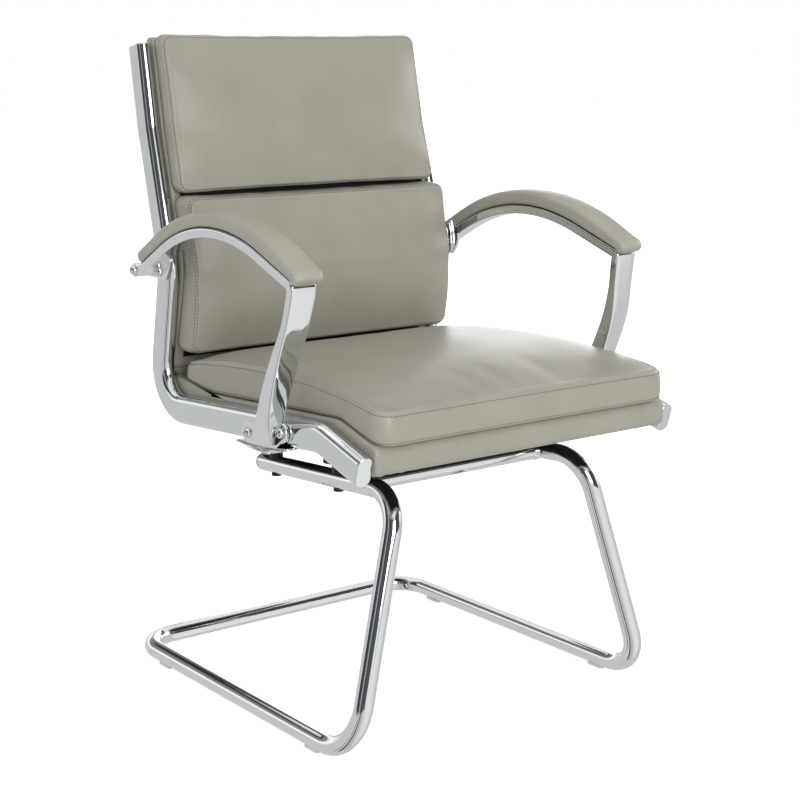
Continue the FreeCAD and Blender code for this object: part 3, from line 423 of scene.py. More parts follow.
def lathe(name: str, centre: Sequence[float], axis: Sequence[float], outline: Sequence,
          material: bpy.types.Material, count: int = 42, sides: int = 0,
          flat_from: int = 0) -> bpy.types.Object:
    """Turn an outline of (radius, height) pairs about an axis.

    Each point is centre + axis * height + radius * (side cos a + up sin a). In
    the rows that are a polygon the radius is divided by the cosine of the angle
    from the middle of the flat.

    Args:
        name: Name of the piece.
        centre: Point on the axis where the height is zero.
        axis: Direction of rising height.
        outline: Pairs in millimetres, from one end to the other.
        material: Finish of the piece.
        count: Points round the axis.
        sides: Flats of the polygon rows.
        flat_from: First polygon row.

    Returns:
        The linked object.
    """
    axis = unit(np.asarray(axis, float))
    # any direction does that the axis isn't near
    helper = (0.0, 0.0, 1.0) if abs(axis[2]) < 0.9 else (0.0, 1.0, 0.0)
    side = unit(np.cross(axis, helper))
    up = np.cross(axis, side)
    outline = np.asarray(outline, float) * MM
    ring = circle_profile(1.0, count)
    rings = np.broadcast_to(ring, (len(outline),) + ring.shape).copy()
    if sides:
        flat = 2 * math.pi / sides
        angle = np.linspace(0.0, 2 * math.pi, count, endpoint=False)
        rings[flat_from:] /= np.cos(angle % flat - flat / 2)[None, :, None]
    grid = (np.asarray(centre, float) + axis * outline[:, None, 1:]
            + outline[:, :1, None] * (side * rings[..., :1] + up * rings[..., 1:]))
    return closed_tube(name, grid, material)


def dress(piece: bpy.types.Object, nodes: Sequence[str]) -> bpy.types.Object:
    """Let a piece ride on the chair and stand for its nodes; its faces are logged.

    Args:
        piece: Finished piece.
        nodes: Nodes that it stands for.

    Returns:
        The same piece.
    """
    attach(piece, BODY)
    if nodes:
        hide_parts(*nodes)
    log.info("%s: %d faces", piece.name, len(piece.data.polygons))
    return piece


# Finishes

def srgb(code: str) -> tuple[float, float, float, float]:
    """Turn an sRGB hex value into linear red, green, blue and alpha.

    Args:
        code: Colour as #RRGGBB.

    Returns:
        Linear values with an alpha of one.
    """
    values = [int(code[i:i + 2], 16) / 255 for i in (1, 3, 5)]
    linear = [v / 12.92 if v <= 0.04045 else ((v + 0.055) / 1.055) ** 2.4 for v in values]
    return (*linear, 1.0)


def add_node(tree: bpy.types.NodeTree, kind: str, links: dict | None = None,
             values: dict | None = None, stops: Sequence[tuple[float, tuple]] = (),
             **settings: object) -> bpy.types.Node:
    """Add a node with its settings, socket values and incoming links.

    Args:
        tree: Node tree that gets the node.
        kind: Type name of the node.
        links: Input name or number to the socket that feeds it.
        values: Input name or number to its constant value.
        stops: Position and colour of every stop, where the node is a colour ramp.
        settings: Attributes of the node.

    Returns:
        The new node.
    """
    made = tree.nodes.new(kind)
    for key, value in settings.items():
        setattr(made, key, value)
    for key, value in (values or {}).items():
        made.inputs[key].default_value = value
    for key, socket in (links or {}).items():
        tree.links.new(socket, made.inputs[key])
    if stops:
        elements = made.color_ramp.elements
        while len(elements) < len(stops):
            elements.new(0.5)
        for element, (position, colour) in zip(elements, stops):
            element.position = position
            element.color = colour
    return made


def new_material(name: str) -> tuple[bpy.types.Material, bpy.types.NodeTree,
                                     bpy.types.NodeSocket, bpy.types.Node]:
    """An empty material.

    Args:
        name: Name of the material.

    Returns:
        The material, its node tree, its output's surface socket and its
        coordinate node.
    """
    material = bpy.data.materials.new(name)
    material.use_nodes = True
    tree = material.node_tree
    tree.nodes.clear()
    output = add_node(tree, "ShaderNodeOutputMaterial")
    coordinates = add_node(tree, "ShaderNodeTexCoord")
    return material, tree, output.inputs["Surface"], coordinates


def grey(value: float) -> tuple[float, float, float, float]:
    """A linear grey with alpha."""
    return (value, value, value, 1.0)


def shades(*stops: tuple[float, float | tuple]) -> tuple[tuple[float, tuple], ...]:
    """Stops of a colour ramp, where a plain number stands for a grey."""
    return tuple((at, shade if isinstance(shade, tuple) else grey(shade))
                 for at, shade in stops)


def pattern_scale(size_mm: float) -> float:
    """Texture scale that gives a pattern of a real size in millimetres."""
    return 1000.0 / size_mm


@dataclass(frozen=True)
class CoatedLeather:
    """Polyurethane coated leather, embossed and lightly glazed.

    The eye sees a satin taupe skin: soft highlights, a shallow pebble grain and
    faint stretch lines where the foam pulls it.
    """

    name: str = "coated_leather"
    colour: str = "#A3A195"
    shade: str = "#9D9A8E"
    roughness: float = 0.34
    # handling leaves the glaze glossier in places and duller in others
    glossier: float = 0.05
    duller: float = 0.07
    ior: float = 1.48
    # real grain is about 0.9 mm; drawn at 1.8 mm so that it shows at this distance
    grain_mm: float = 1.8
    grain_depth_mm: float = 0.5
    grain_relief: float = 0.14
    mottle_mm: float = 70.0
    crease_mm: float = 26.0
    crease_depth_mm: float = 3.0
    crease_relief: float = 0.06

    def make(self) -> bpy.types.Material:
        """Build the material.

        Returns:
            The material.
        """
        material, tree, surface, at = new_material(self.name)
        place = at.outputs["Object"]
        mottle = add_node(tree, "ShaderNodeTexNoise", {"Vector": place},
                          {"Scale": pattern_scale(self.mottle_mm), "Detail": 3.0})
        colour = add_node(tree, "ShaderNodeValToRGB", {"Fac": mottle.outputs["Fac"]},
                          stops=((0.30, srgb(self.shade)), (0.70, srgb(self.colour))))
        grain = add_node(tree, "ShaderNodeTexVoronoi", {"Vector": place},
                         {"Scale": pattern_scale(self.grain_mm), "Randomness": 1.0},
                         feature="SMOOTH_F1")
        crease = add_node(tree, "ShaderNodeTexNoise", {"Vector": place},
                          {"Scale": pattern_scale(self.crease_mm), "Detail": 4.0,
                           "Roughness": 0.45, "Distortion": 0.6})
        soft = add_node(tree, "ShaderNodeBump", {"Height": crease.outputs["Fac"]},
                        {"Strength": self.crease_relief,
                         "Distance": self.crease_depth_mm * MM})
        fine = add_node(tree, "ShaderNodeBump",
                        {"Height": grain.outputs["Distance"],
                         "Normal": soft.outputs["Normal"]},
                        {"Strength": self.grain_relief,
                         "Distance": self.grain_depth_mm * MM})
        gloss = add_node(tree, "ShaderNodeMapRange", {"Value": mottle.outputs["Fac"]},
                         {"To Min": self.roughness - self.glossier,
                          "To Max": self.roughness + self.duller})
        shader = add_node(tree, "ShaderNodeBsdfPrincipled",
                          {"Base Color": colour.outputs["Color"],
                           "Roughness": gloss.outputs["Result"],
                           "Normal": fine.outputs["Normal"]}, {"IOR": self.ior})
        tree.links.new(shader.outputs["BSDF"], surface)
        return material


@dataclass(frozen=True)
class Chrome:
    """Decorative chrome on polished steel.

    The eye sees the room in it: white with hard dark edges, bent by the slight
    waviness that polishing leaves.
    """

    name: str
    colour: str = "#E4E6E7"
    roughness: float = 0.035
    haze: float = 0.05
    wave_mm: float = 34.0
    wave_depth_mm: float = 1.0
    wave_relief: float = 0.05
    smear_mm: float = 12.0

    def make(self) -> bpy.types.Material:
        """Build the material.

        Returns:
            The material.
        """
        material, tree, surface, at = new_material(self.name)
        place = at.outputs["Object"]
        wave = add_node(tree, "ShaderNodeTexNoise", {"Vector": place},
                        {"Scale": pattern_scale(self.wave_mm), "Detail": 1.0})
        bump = add_node(tree, "ShaderNodeBump", {"Height": wave.outputs["Fac"]},
                        {"Strength": self.wave_relief,
                         "Distance": self.wave_depth_mm * MM})
        smear = add_node(tree, "ShaderNodeTexNoise", {"Vector": place},
                         {"Scale": pattern_scale(self.smear_mm), "Detail": 6.0})
        gloss = add_node(tree, "ShaderNodeMapRange", {"Value": smear.outputs["Fac"]},
                         {"From Min": 0.35, "From Max": 0.75, "To Min": self.roughness,
                          "To Max": self.roughness + self.haze})
        shader = add_node(tree, "ShaderNodeBsdfPrincipled",
                          {"Roughness": gloss.outputs["Result"],
                           "Normal": bump.outputs["Normal"]},
                          {"Base Color": srgb(self.colour), "Metallic": 1.0})
        tree.links.new(shader.outputs["BSDF"], surface)
        return material


@dataclass(frozen=True)
class Powder:
    """Plain dark finish with a fine texture: paint, plastic or lining cloth."""

    name: str
    colour: str
    light: str
    roughness: float
    bead_mm: float
    depth_mm: float
    relief: float = 0.35
    ior: float = 1.5

    def make(self) -> bpy.types.Material:
        """Build the material.

        Returns:
            The material.
        """
        material, tree, surface, at = new_material(self.name)
        bead = add_node(tree, "ShaderNodeTexNoise", {"Vector": at.outputs["Object"]},
                        {"Scale": pattern_scale(self.bead_mm), "Detail": 5.0})
        colour = add_node(tree, "ShaderNodeValToRGB", {"Fac": bead.outputs["Fac"]},
                          stops=((0.35, srgb(self.colour)), (0.75, srgb(self.light))))
        bump = add_node(tree, "ShaderNodeBump", {"Height": bead.outputs["Fac"]},
                        {"Strength": self.relief, "Distance": self.depth_mm * MM})
        shader = add_node(tree, "ShaderNodeBsdfPrincipled",
                          {"Base Color": colour.outputs["Color"],
                           "Normal": bump.outputs["Normal"]},
                          {"Roughness": self.roughness, "IOR": self.ior})
        tree.links.new(shader.outputs["BSDF"], surface)
        return material


@dataclass
class Finishes:
    """Every finish on the chair, made once."""

    leather: bpy.types.Material = field(
        default_factory=lambda: CoatedLeather().make())
    pad: bpy.types.Material = field(
        default_factory=lambda: CoatedLeather("moulded_pad_skin", "#ACAA9D", "#A6A497",
                                              0.40, crease_mm=60.0).make())
    chrome: bpy.types.Material = field(
        default_factory=lambda: Chrome("chrome_polished").make())
    rail: bpy.types.Material = field(
        default_factory=lambda: Chrome("chrome_on_drawn_tube", colour="#DEE1E1",
                                       roughness=0.06, wave_mm=60.0).make())
    paint: bpy.types.Material = field(
        default_factory=lambda: Powder("black_powder_coat", "#16171A", "#202125",
                                       0.42, 1.6, 0.12).make())
    plastic: bpy.types.Material = field(
        default_factory=lambda: Powder("moulded_black_plastic", "#17181A", "#1E1F21",
                                       0.5, 0.9, 0.08).make())
    nylon: bpy.types.Material = field(
        default_factory=lambda: Powder("moulded_clear_nylon", "#DDDEDC", "#E8E9E7",
                                       0.35, 1.2, 0.05).make())
    cloth: bpy.types.Material = field(
        default_factory=lambda: Powder("black_lining_cloth", "#0E0E0F", "#1B1B1D",
                                       0.92, 0.8, 0.3).make())
    thread: bpy.types.Material = field(
        default_factory=lambda: Powder("taupe_thread", "#656157", "#7A7569",
                                       0.7, 0.5, 0.1).make())


# Chromed parts

@dataclass
class SideRails:
    """Two bent flat-oval tubes with flush caps; sizes in millimetres."""

    finishes: Finishes
    gauge: float = 500.0
    depth: float = 40.0
    thickness: float = 22.0
    corners: tuple = ((258.3, 872.4), (238.5, 760.4), (189.8, 574.5), (228.5, 377.8),
                      (-189.8, 409.5), (-281.0, 384.0))
    radii: tuple = (150.0, 120.0, 55.0, 75.0)
    step: float = 12.0
    # a hair of flat between the two quarter circles of a rounded end
    flat: float = 2e-3
    cap_edge: float = 1.6
    cap_sink: float = 0.4

    def profile(self) -> np.ndarray:
        """Flat oval: two half circles joined by straight sides."""
        return box_profile(np.array([self.thickness]), np.array([self.depth]),
                           np.array([(self.thickness - self.flat) / 2]), 12, 6)[0] * MM

    def build(self, side: Side) -> None:
        """Make one rail and the caps in its ends.

        Args:
            side: Which of the two rails.
        """
        x = side.value * self.gauge / 2
        corners = np.array([(x, y, z) for y, z in self.corners]) * MM
        path = rounded_path(corners, [r * MM for r in self.radii], self.step * MM)
        tangent, across, up = path_frame(path, (1.0, 0.0, 0.0))
        grid = sweep(path, across, up, self.profile())
        piece = closed_tube(f"rail_{side.word}", leaned(grid), self.finishes.rail)
        dress(turn_in(piece, side), [f"side_rail_{side.word}"])
        self.build_cap(side, "top", path[0], (-tangent[0], across[0], up[0]))
        self.build_cap(side, "front", path[-1], (tangent[-1], across[-1], up[-1]))

    def build_cap(self, side: Side, name: str, end: np.ndarray,
                  ways: tuple[np.ndarray, ...]) -> None:
        """A flush cap in one end of a rail, its edge a quarter circle.

        Args:
            side: Which of the two rails.
            name: Which of its ends.
            end: Middle of that end, in metres.
            ways: Directions out of the end, across it and up it.
        """
        out, across, up = ways
        profile = self.profile()
        edge = np.linspace(0.0, math.pi / 2, 6)
        rise = np.concatenate([[-self.cap_sink], self.cap_edge * np.sin(edge)]) * MM
        inset = np.concatenate([[0.0], self.cap_edge * (1 - np.cos(edge))]) * MM
        radii = np.linalg.norm(profile, axis=1, keepdims=True)
        rows = profile[None] * (1 - inset[:, None, None] / radii[None])
        centre = end + out * rise[:, None]
        grid = sweep(centre, np.broadcast_to(across, centre.shape),
                     np.broadcast_to(up, centre.shape), rows)
        cap = closed_tube(f"rail_{name}_plug_{side.word}", leaned(grid),
                          self.finishes.chrome)
        dress(turn_in(cap, side), [f"rail_{name}_cap_{side.word}"])


@dataclass
class SledBase:
    """One bent round tube, its cross tube and end caps; millimetres."""

    finishes: Finishes
    diameter: float = 25.0
    step: float = 14.0
    top_gauge: float = 313.0
    front_gauge: float = 494.0
    rear_gauge: float = 490.0
    end: tuple = (78.0, 313.9)
    top: tuple = (-225.0, 332.0)
    front_y: float = -257.0
    rear_y: float = 285.0
    floor_z: float = 15.0
    radii: tuple = (52.0, 60.0, 52.0)
    cross_y: float = -138.0
    # the cross tube is thinner by this, and its weld bead swells over this reach
    cross_under: float = 0.2
    bead_rise: float = 1.6
    bead_reach: float = 3.0
    cap_length: float = 8.0
    cap_sink: float = 0.6
    cap_rim: float = 0.5

    def build(self) -> None:
        """Make the tube and what is fitted to it."""
        half = np.array([
            (self.top_gauge / 2, *self.end),
            (self.top_gauge / 2, *self.top),
            (self.front_gauge / 2, self.front_y, self.floor_z),
            (self.rear_gauge / 2, self.rear_y, self.floor_z),
        ]) * MM
        corners = np.concatenate([half * (-1.0, 1.0, 1.0), half[::-1]])
        radii = [r * MM for r in self.radii + self.radii[::-1]]
        path = rounded_path(corners, radii, self.step * MM)
        # the tube never runs along this slant, so its sections don't twist
        _, side, up = path_frame(path, (0.7, 0.0, 0.7))
        tube = sweep(path, side, up, circle_profile(self.diameter / 2 * MM, 48))
        dress(closed_tube("sled_tube", tube, self.finishes.chrome), ["sled_frame"])
        self.build_cross_tube()
        for part in Side:
            self.build_cap(part)

    def height(self, y: float) -> float:
        """Height of the upper tubes' centre line at a place along them."""
        share = (self.end[0] - y) / (self.end[0] - self.top[0])
        return self.end[1] + share * (self.top[1] - self.end[1])

    def build_cross_tube(self) -> None:
        """The tube between the upper tubes, with a weld bead at both ends."""
        radius = self.diameter / 2
        reach = self.top_gauge / 2
        share = np.linspace(-1.0, 1.0, 81)
        # the bead falls off as a bell curve of the distance to the upper tube's side
        gap = (reach - radius) - np.abs(share) * reach
        near = np.clip(gap, -self.bead_reach, None) / self.bead_reach
        swell = self.bead_rise * np.exp(-near ** 2)
        path = np.stack([share * reach, np.full_like(share, self.cross_y),
                         np.full_like(share, self.height(self.cross_y))], axis=1) * MM
        girth = (radius - self.cross_under + swell) * MM
        profile = circle_profile(1.0, 40)[None] * girth[:, None, None]
        _, side, up = path_frame(path, (0.0, 1.0, 0.0))
        tube = closed_tube("sled_cross_tube", sweep(path, side, up, profile),
                           self.finishes.chrome)
        dress(tube, ["sled_crosstube"])

    def build_cap(self, part: Side) -> None:
        """A domed plug in one upper tube's rear end.

        Its dome is a quarter of an oval, fuller than an ellipse at the shoulder.

        Args:
            part: Which side it is on.
        """
        out = np.array([0.0, self.end[0] - self.top[0], self.end[1] - self.top[1]])
        centre = np.array([part.value * self.top_gauge / 2, *self.end]) * MM
        angle = np.linspace(0.0, math.pi / 2, 9)[1:-1]
        radius, rim = self.diameter / 2, self.cap_rim
        dome = [(radius, -self.cap_sink), (radius, rim)]
        dome += [(radius * math.cos(a) ** 0.8, rim + (self.cap_length - rim) * math.sin(a))
                 for a in angle]
        cap = lathe(f"sled_plug_{part.word}", centre, out, dome, self.finishes.plastic)
        dress(cap, [f"sled_end_cap_{part.word}"])


@dataclass
class Armrests:
    """Chromed bow, upright and feet, with a soft pad on top; millimetres."""

    finishes: Finishes
    rail_side: float = 261.0
    stand: float = 26.5
    width: float = 36.0
    height: float = 13.0
    edge: float = 3.0
    tail: tuple = (212.8, 570.0)
    rear_bend: tuple = (78.8, 641.0)
    front_bend: tuple = (-51.4, 641.0)
    corner: tuple = (-180.6, 594.4)
    upright_top: tuple = (-178.4, 581.0)
    radii: tuple = (300.0, 300.0, 4.0)
    taper: tuple = (-60.0, 135.0)
    # share of the way down, growth outwards, width, place along Y, depth
    stations: tuple = (
        (0.00, 0.0, 36.0, -178.4, 13.0),
        (0.17, 3.0, 35.0, -171.6, 13.0),
        (0.36, 8.0, 34.0, -159.8, 18.0),
        (0.60, 8.5, 29.5, -139.5, 25.0),
        (0.78, 5.0, 25.0, -122.4, 31.0),
        (0.90, -3.0, 22.0, -104.9, 39.0),
        (1.00, -14.0, 12.0, -88.2, 44.0),
    )
    # slope of the upright's first sections, gone by this share of the way down
    tilt: float = 0.18
    tilt_until: float = 0.25
    foot_z: float = 386.5
    # inner and outer side of the flange along X
    flange: tuple = (261.3, 267.3)
    flange_edge: float = 1.5
    front_bolts: tuple = ((-122.5, 404.4), (-43.8, 390.4))
    rear_bolts: tuple = ((186.8, 571.8), (222.7, 571.8))
    ear: float = 14.0
    belly_z: float = 371.4
    lip: tuple = ((-137.5, 385.2), (-13.8, 375.9))
    lip_width: float = 24.0
    lip_sag: float = 10.0
    lip_edge: float = 1.2
    # the rear web's front edge: ahead of its bolt, below and above the eye, its bulge
    web_ahead: float = 17.0
    web_below: float = 9.5
    web_above: float = 42.5
    web_bulge: tuple = (-14.2, 2.0)
    web_edge: float = 1.0
    # outline of the eye round the rear bolt: radius and distance from the rail
    eye: tuple = ((8.5, 0), (9.5, 1), (9.5, 25.2), (8.5, 26.2), (6.0, 26.2))
    # the pad: past the corner, edge radius, height at the tail, growth to the nose
    pad_overhang: float = 8.0
    pad_edge: float = 6.0
    pad_tail: float = 16.9
    pad_growth: float = 9.0
    # its nose: how much thinner, how much it leans on, how far its underside drops
    nose_thinner: float = 9.5
    nose_lean: float = 0.55
    nose_drop: float = 5.0
    # it hangs over the bow by this much inside and outside, and lies this far above it
    pad_over: tuple = (4.0, 2.0)
    pad_gap: float = 0.8
    # powers of its section's two curves, and the fall of its crown towards the sides
    pad_powers: tuple = (0.36, 0.50)
    pad_crown: tuple = (0.22, 2.5)

    @property
    def outer(self) -> float:
        """Outer side of the bow."""
        return self.rail_side + self.stand

    def inner(self, y: np.ndarray, reach: float = 0.0) -> np.ndarray:
        """Inner side of the bow, which runs out to the flange towards the tail.

        Args:
            y: Places along it, in metres.
            reach: How much further in it is at the front, in millimetres.

        Returns:
            Places along X, in metres.
        """
        share = np.clip((y / MM - self.taper[0]) / (self.taper[1] - self.taper[0]), 0.0, 1.0)
        front = self.outer - self.width - reach
        return (front + (self.flange[0] - front) * share) * MM

    def build(self, side: Side) -> None:
        """Make one armrest.

        Args:
            side: Which of the two armrests.
        """
        mirror = np.array([side.value, 1.0, 1.0])
        node = f"arm_frame_{side.word}"
        bar = closed_tube(f"arm_bar_{side.word}", self.bar_rows() * mirror,
                          self.finishes.chrome)
        dress(turn_in(bar, side), [node])
        for piece in self.feet(side):
            dress(turn_in(piece, side), [node])
        rear, eye = len(self.front_bolts), len(self.front_bolts) + 1
        for number, (y, z) in enumerate(self.front_bolts + self.rear_bolts):
            group = "front" if number < rear else "rear"
            x = self.flange[1] if number < eye else self.outer
            bolt = screw_head(f"arm_bolt_{side.word}_{number + 1}",
                              np.array([side.value * x, y, z]) * MM, (side.value, 0, 0),
                              self.finishes.chrome)
            dress(turn_in(bolt, side), [f"arm_{group}_bolts_{side.word}"])
        self.build_pad(side)

    def bow_path(self, *ends: Sequence[float]) -> np.ndarray:
        """Outer line of the bow from its tail over its two bends.

        Args:
            ends: Its last corners (y, z), in millimetres.

        Returns:
            Points of shape (n, 3), in metres.
        """
        corners = np.array([(self.outer, *at) for at in
                            (self.tail, self.rear_bend, self.front_bend, *ends)]) * MM
        return rounded_path(corners, [r * MM for r in self.radii], 3 * MM)

    def bar_rows(self) -> np.ndarray:
        """Sections of the bow from tail to corner and down the upright.

        Returns:
            Sections of shape (n, m, 3), in metres.
        """
        bow = self.bow_path(self.corner, self.upright_top)
        _, _, up = path_frame(bow, (1.0, 0.0, 0.0))
        inner = self.inner(bow[:, 1])
        outer = bow[:, 0]
        centre = np.stack([(inner + outer) / 2, bow[:, 1], bow[:, 2]], axis=1)
        each = np.full(len(bow), MM)
        profile = box_profile(outer - inner, each * self.height, each * self.edge, 6, 4)
        across = np.broadcast_to((1.0, 0.0, 0.0), bow.shape)
        return np.concatenate([sweep(centre, across, up, profile), self.upright_rows()])

    def upright_rows(self) -> np.ndarray:
        """Sections of the upright from the bow's corner down to its foot.

        Returns:
            Sections of shape (n, m, 3), in metres.
        """
        table = np.array(self.stations)
        share = np.linspace(0.03, 1.0, 60)
        growth, wide, place, deep = smooth_values(table[:, 0], table[:, 1:], share).T
        top = self.upright_top[1]
        path = np.stack([self.outer + growth - wide / 2, place,
                         top + share * (self.foot_z - top)], axis=1) * MM
        edge = np.full(len(share), self.edge * MM)
        profile = box_profile(wide * MM, deep * MM, edge, 6, 4)
        slope = self.tilt * (1.0 - fade(share, 0.0, self.tilt_until))
        up = unit(np.stack([np.zeros_like(share), np.ones_like(share), slope], axis=1))
        across = np.broadcast_to((1.0, 0.0, 0.0), path.shape)
        return sweep(path, across, up, profile)

    def feet(self, side: Side) -> list[bpy.types.Object]:
        """Front flange and lip, rear web and eye.

        Args:
            side: Which of the two armrests.

        Returns:
            The pieces.
        """
        sign, word, chrome = side.value, side.word, self.finishes.chrome
        x_low, x_high = self.flange
        centre = np.array([sign * x_low, *self.rear_bolts[-1]]) * MM
        eye = lathe(f"arm_eye_{word}", centre, (sign, 0, 0), self.eye, chrome)
        return [
            plate(f"arm_flange_{word}", self.flange_outline(), sign * x_low, sign * x_high,
                  self.flange_edge, chrome),
            plate(f"arm_lip_{word}", self.lip_outline(), sign * (x_high - self.lip_width),
                  sign * x_high, self.lip_edge, chrome),
            plate(f"arm_web_{word}", self.web_outline(), sign * x_low, sign * x_high,
                  self.web_edge, chrome),
            eye,
        ]

    def flange_outline(self) -> np.ndarray:
        """Outline of the front foot: a half circle round each bolt and a belly.

        Returns:
            Points (y, z) in millimetres.
        """
        turn = np.linspace(0.0, math.pi, 24)
        ear = self.ear * np.stack([-np.sin(turn), np.cos(turn)], axis=1)
        front, rear = (np.array(bolt) for bolt in self.front_bolts)
        front, rear = front + ear, rear - ear
        sag = self.belly_z - (front[-1, 1] + rear[0, 1]) / 2
        belly = sagged(front[-1], rear[0], (0.0, sag), 26)
        return np.concatenate([front, belly[1:-1], rear])

    def lip_outline(self) -> np.ndarray:
        """Outline of the lip under the front foot, sagging between its ends.

        Returns:
            Points (y, z) in millimetres.
        """
        front, rear = np.array(self.lip)
        return np.concatenate([sagged(front, rear, (0.0, -self.lip_sag), 40),
                               sagged(rear, front, (0.0, 0.0), 12)[1:-1]])

    def web_outline(self) -> np.ndarray:
        """Outline of the rear foot's web, from its bulging nose to the eye.

        Returns:
            Points (y, z) in millimetres.
        """
        (web_y, _), (eye_y, eye_z) = self.rear_bolts
        high = np.array([web_y - self.web_ahead, eye_z + self.web_above])
        low = np.array([web_y - self.web_ahead, eye_z - self.web_below])
        return np.concatenate([sagged(high, low, self.web_bulge, 20),
                               [[eye_y, eye_z - self.web_below], [eye_y, eye_z]]])

    def build_pad(self, side: Side) -> None:
        """The soft pad: a crowned strip over the bow, its ends rounded off.

        Each section is a superellipse flattened below; both ends shrink by the
        edge's quarter circle.

        Args:
            side: Which of the two armrests.
        """
        mirror = np.array([side.value, 1.0, 1.0])
        bend, corner = np.array(self.front_bend), np.array(self.corner)
        path = self.bow_path(corner + unit(corner - bend) * self.pad_overhang)
        along = path_length(path) / path_length(path)[-1]
        tangent, _, up = path_frame(path, (-1.0, 0.0, 0.0))
        # shares of the path where the sections lie, closer together at both ends
        knots = np.concatenate([0.03 + 0.02 * np.linspace(0, 1, 14) ** 2,
                                np.linspace(0.056, 0.974, 120),
                                1 - 0.02 * np.linspace(1, 0, 14) ** 2])
        path, tangent, up = (read_along(knots, along, v) for v in (path, tangent, up))
        share = (knots - knots[0]) / (knots[-1] - knots[0])
        high = (self.pad_tail + self.pad_growth * share
                - self.nose_thinner * fade(share, 0.80, 1.0)) * MM
        # over its last quarter the pad leans forwards more and more
        nose = (self.nose_lean * np.clip(4 * share - 3, 0.0, None))[:, None]
        rise = up + tangent * nose
        low = (self.height / 2 + self.pad_gap
               - self.nose_drop * fade(share, 0.975, 1.0))[:, None] * MM
        over_inner, over_outer = self.pad_over
        inner, outer = self.inner(path[:, 1], over_inner), path[:, 0] + over_outer * MM
        run = path_length(path)
        edge = self.pad_edge * MM
        end = np.clip(np.minimum(run, run[-1] - run) / edge, 0.0, 1.0)
        inset = edge * (1 - np.sqrt(1 - (1 - end) ** 2))
        angle = np.linspace(-math.pi, math.pi, 73)[:-1]
        a, b = (np.sign(wave) * np.abs(wave) ** power for wave, power
                in zip((np.cos(angle), np.sin(angle)), self.pad_powers))
        fall, power = self.pad_crown
        crown = np.where(b > 0, 1.0 - fall * np.abs(a) ** power, 1.0)
        across = (outer - inner)[:, None] / 2 - inset[:, None]
        lift = (high[:, None] / 2 * (1 + b * crown)) - inset[:, None] * b
        middle = (outer + inner)[:, None] / 2
        grid = np.stack([
            middle + across * a,
            path[:, 1, None] + up[:, 1, None] * low + rise[:, 1, None] * lift,
            path[:, 2, None] + up[:, 2, None] * low + rise[:, 2, None] * lift,
        ], axis=2)
        pad = closed_tube(f"pad_{side.word}", grid * mirror, self.finishes.pad)
        turn_in(pad, side)
        dress(pad, [f"arm_pad_{side.word}"])


def sagged(start: np.ndarray, end: np.ndarray, sag: Sequence[float],
           count: int) -> np.ndarray:
    """A parabola from start to end.

    Each point is start + (end - start) * s + 4 * sag * s * (1 - s).

    Args:
        start: First point (y, z).
        end: Last point (y, z).
        sag: How far the middle lies off the straight line.
        count: Number of points.

    Returns:
        Points of shape (count, 2).
    """
    share = np.linspace(0.0, 1.0, count)[:, None]
    return start + (end - start) * share + 4 * np.asarray(sag) * share * (1 - share)


def plate(name: str, outline: np.ndarray, x_from: float, x_to: float, edge: float,
          material: bpy.types.Material) -> bpy.types.Object:
    """A slab with rounded edges, its outline given in the YZ plane.

    The rings on the way across the slab step inwards by a quarter circle at
    both faces.

    Args:
        name: Name of the piece.
        outline: Closed outline (y, z) in millimetres.
        x_from: Where it starts along X.
        x_to: Where it ends along X.
        edge: Radius of the edges.
        material: Finish of the piece.

    Returns:
        The linked object.
    """
    quarter = np.linspace(0.0, math.pi / 2, 6)
    # the first ring lies on the face, further in than the edge reaches
    inset = np.concatenate([[edge * 2.2], edge * (1 - np.sin(quarter))])
    depth = np.concatenate([[0.0], edge * (1 - np.cos(quarter))])
    sign = math.copysign(1.0, x_to - x_from)
    xs = np.concatenate([x_from + sign * depth, x_to - sign * depth[::-1]])
    insets = np.concatenate([inset, inset[::-1]])
    return closed_tube(name, slab_rows(outline, xs, insets) * MM, material)


def slab_rows(outline: np.ndarray, xs: np.ndarray, insets: np.ndarray) -> np.ndarray:
    """Copies of a YZ outline at places along X, each stepped inwards.

    Args:
        outline: Closed outline (y, z).
        xs: Places along X.
        insets: How far each copy is stepped inwards.

    Returns:
        Sections of shape (n, m, 3).
    """
    rows = outline[None] - outline_normals(outline)[None] * insets[:, None, None]
    places = np.broadcast_to(xs[:, None, None], rows.shape[:2] + (1,))
    return np.concatenate([places, rows], axis=2)


def screw_head(name: str, place: np.ndarray, axis: Sequence[float],
               material: bpy.types.Material, radius: float = 7.0,
               high: float = 6.0) -> bpy.types.Object:
    """A domed head with a hexagon socket.

    The dome is part of a ball that the head's radius and height settle; the
    socket's last rows are a hexagon.

    Args:
        name: Name of the piece.
        place: Where it sits, in metres.
        axis: Direction it faces.
        material: Finish of the piece.
        radius: Radius of the head.
        high: Height of the head.

    Returns:
        The linked object.
    """
    ball = (radius ** 2 + high ** 2) / (2 * high)
    rim, top = 0.4, high * 0.93
    levels = rim + (top - rim) * np.linspace(0.0, 1.0, 12)
    radii = np.sqrt(ball ** 2 - (levels - high + ball) ** 2)
    outline = [(radius * 0.96, 0.0), *zip(radii, levels)]
    socket = [(2.3, top - 0.1), (2.2, top - 0.6), (2.2, high - 3.0), (0.4, high - 3.2)]
    return lathe(name, place, axis, outline + socket, material, sides=6,
                 flat_from=len(outline))


# Upholstery

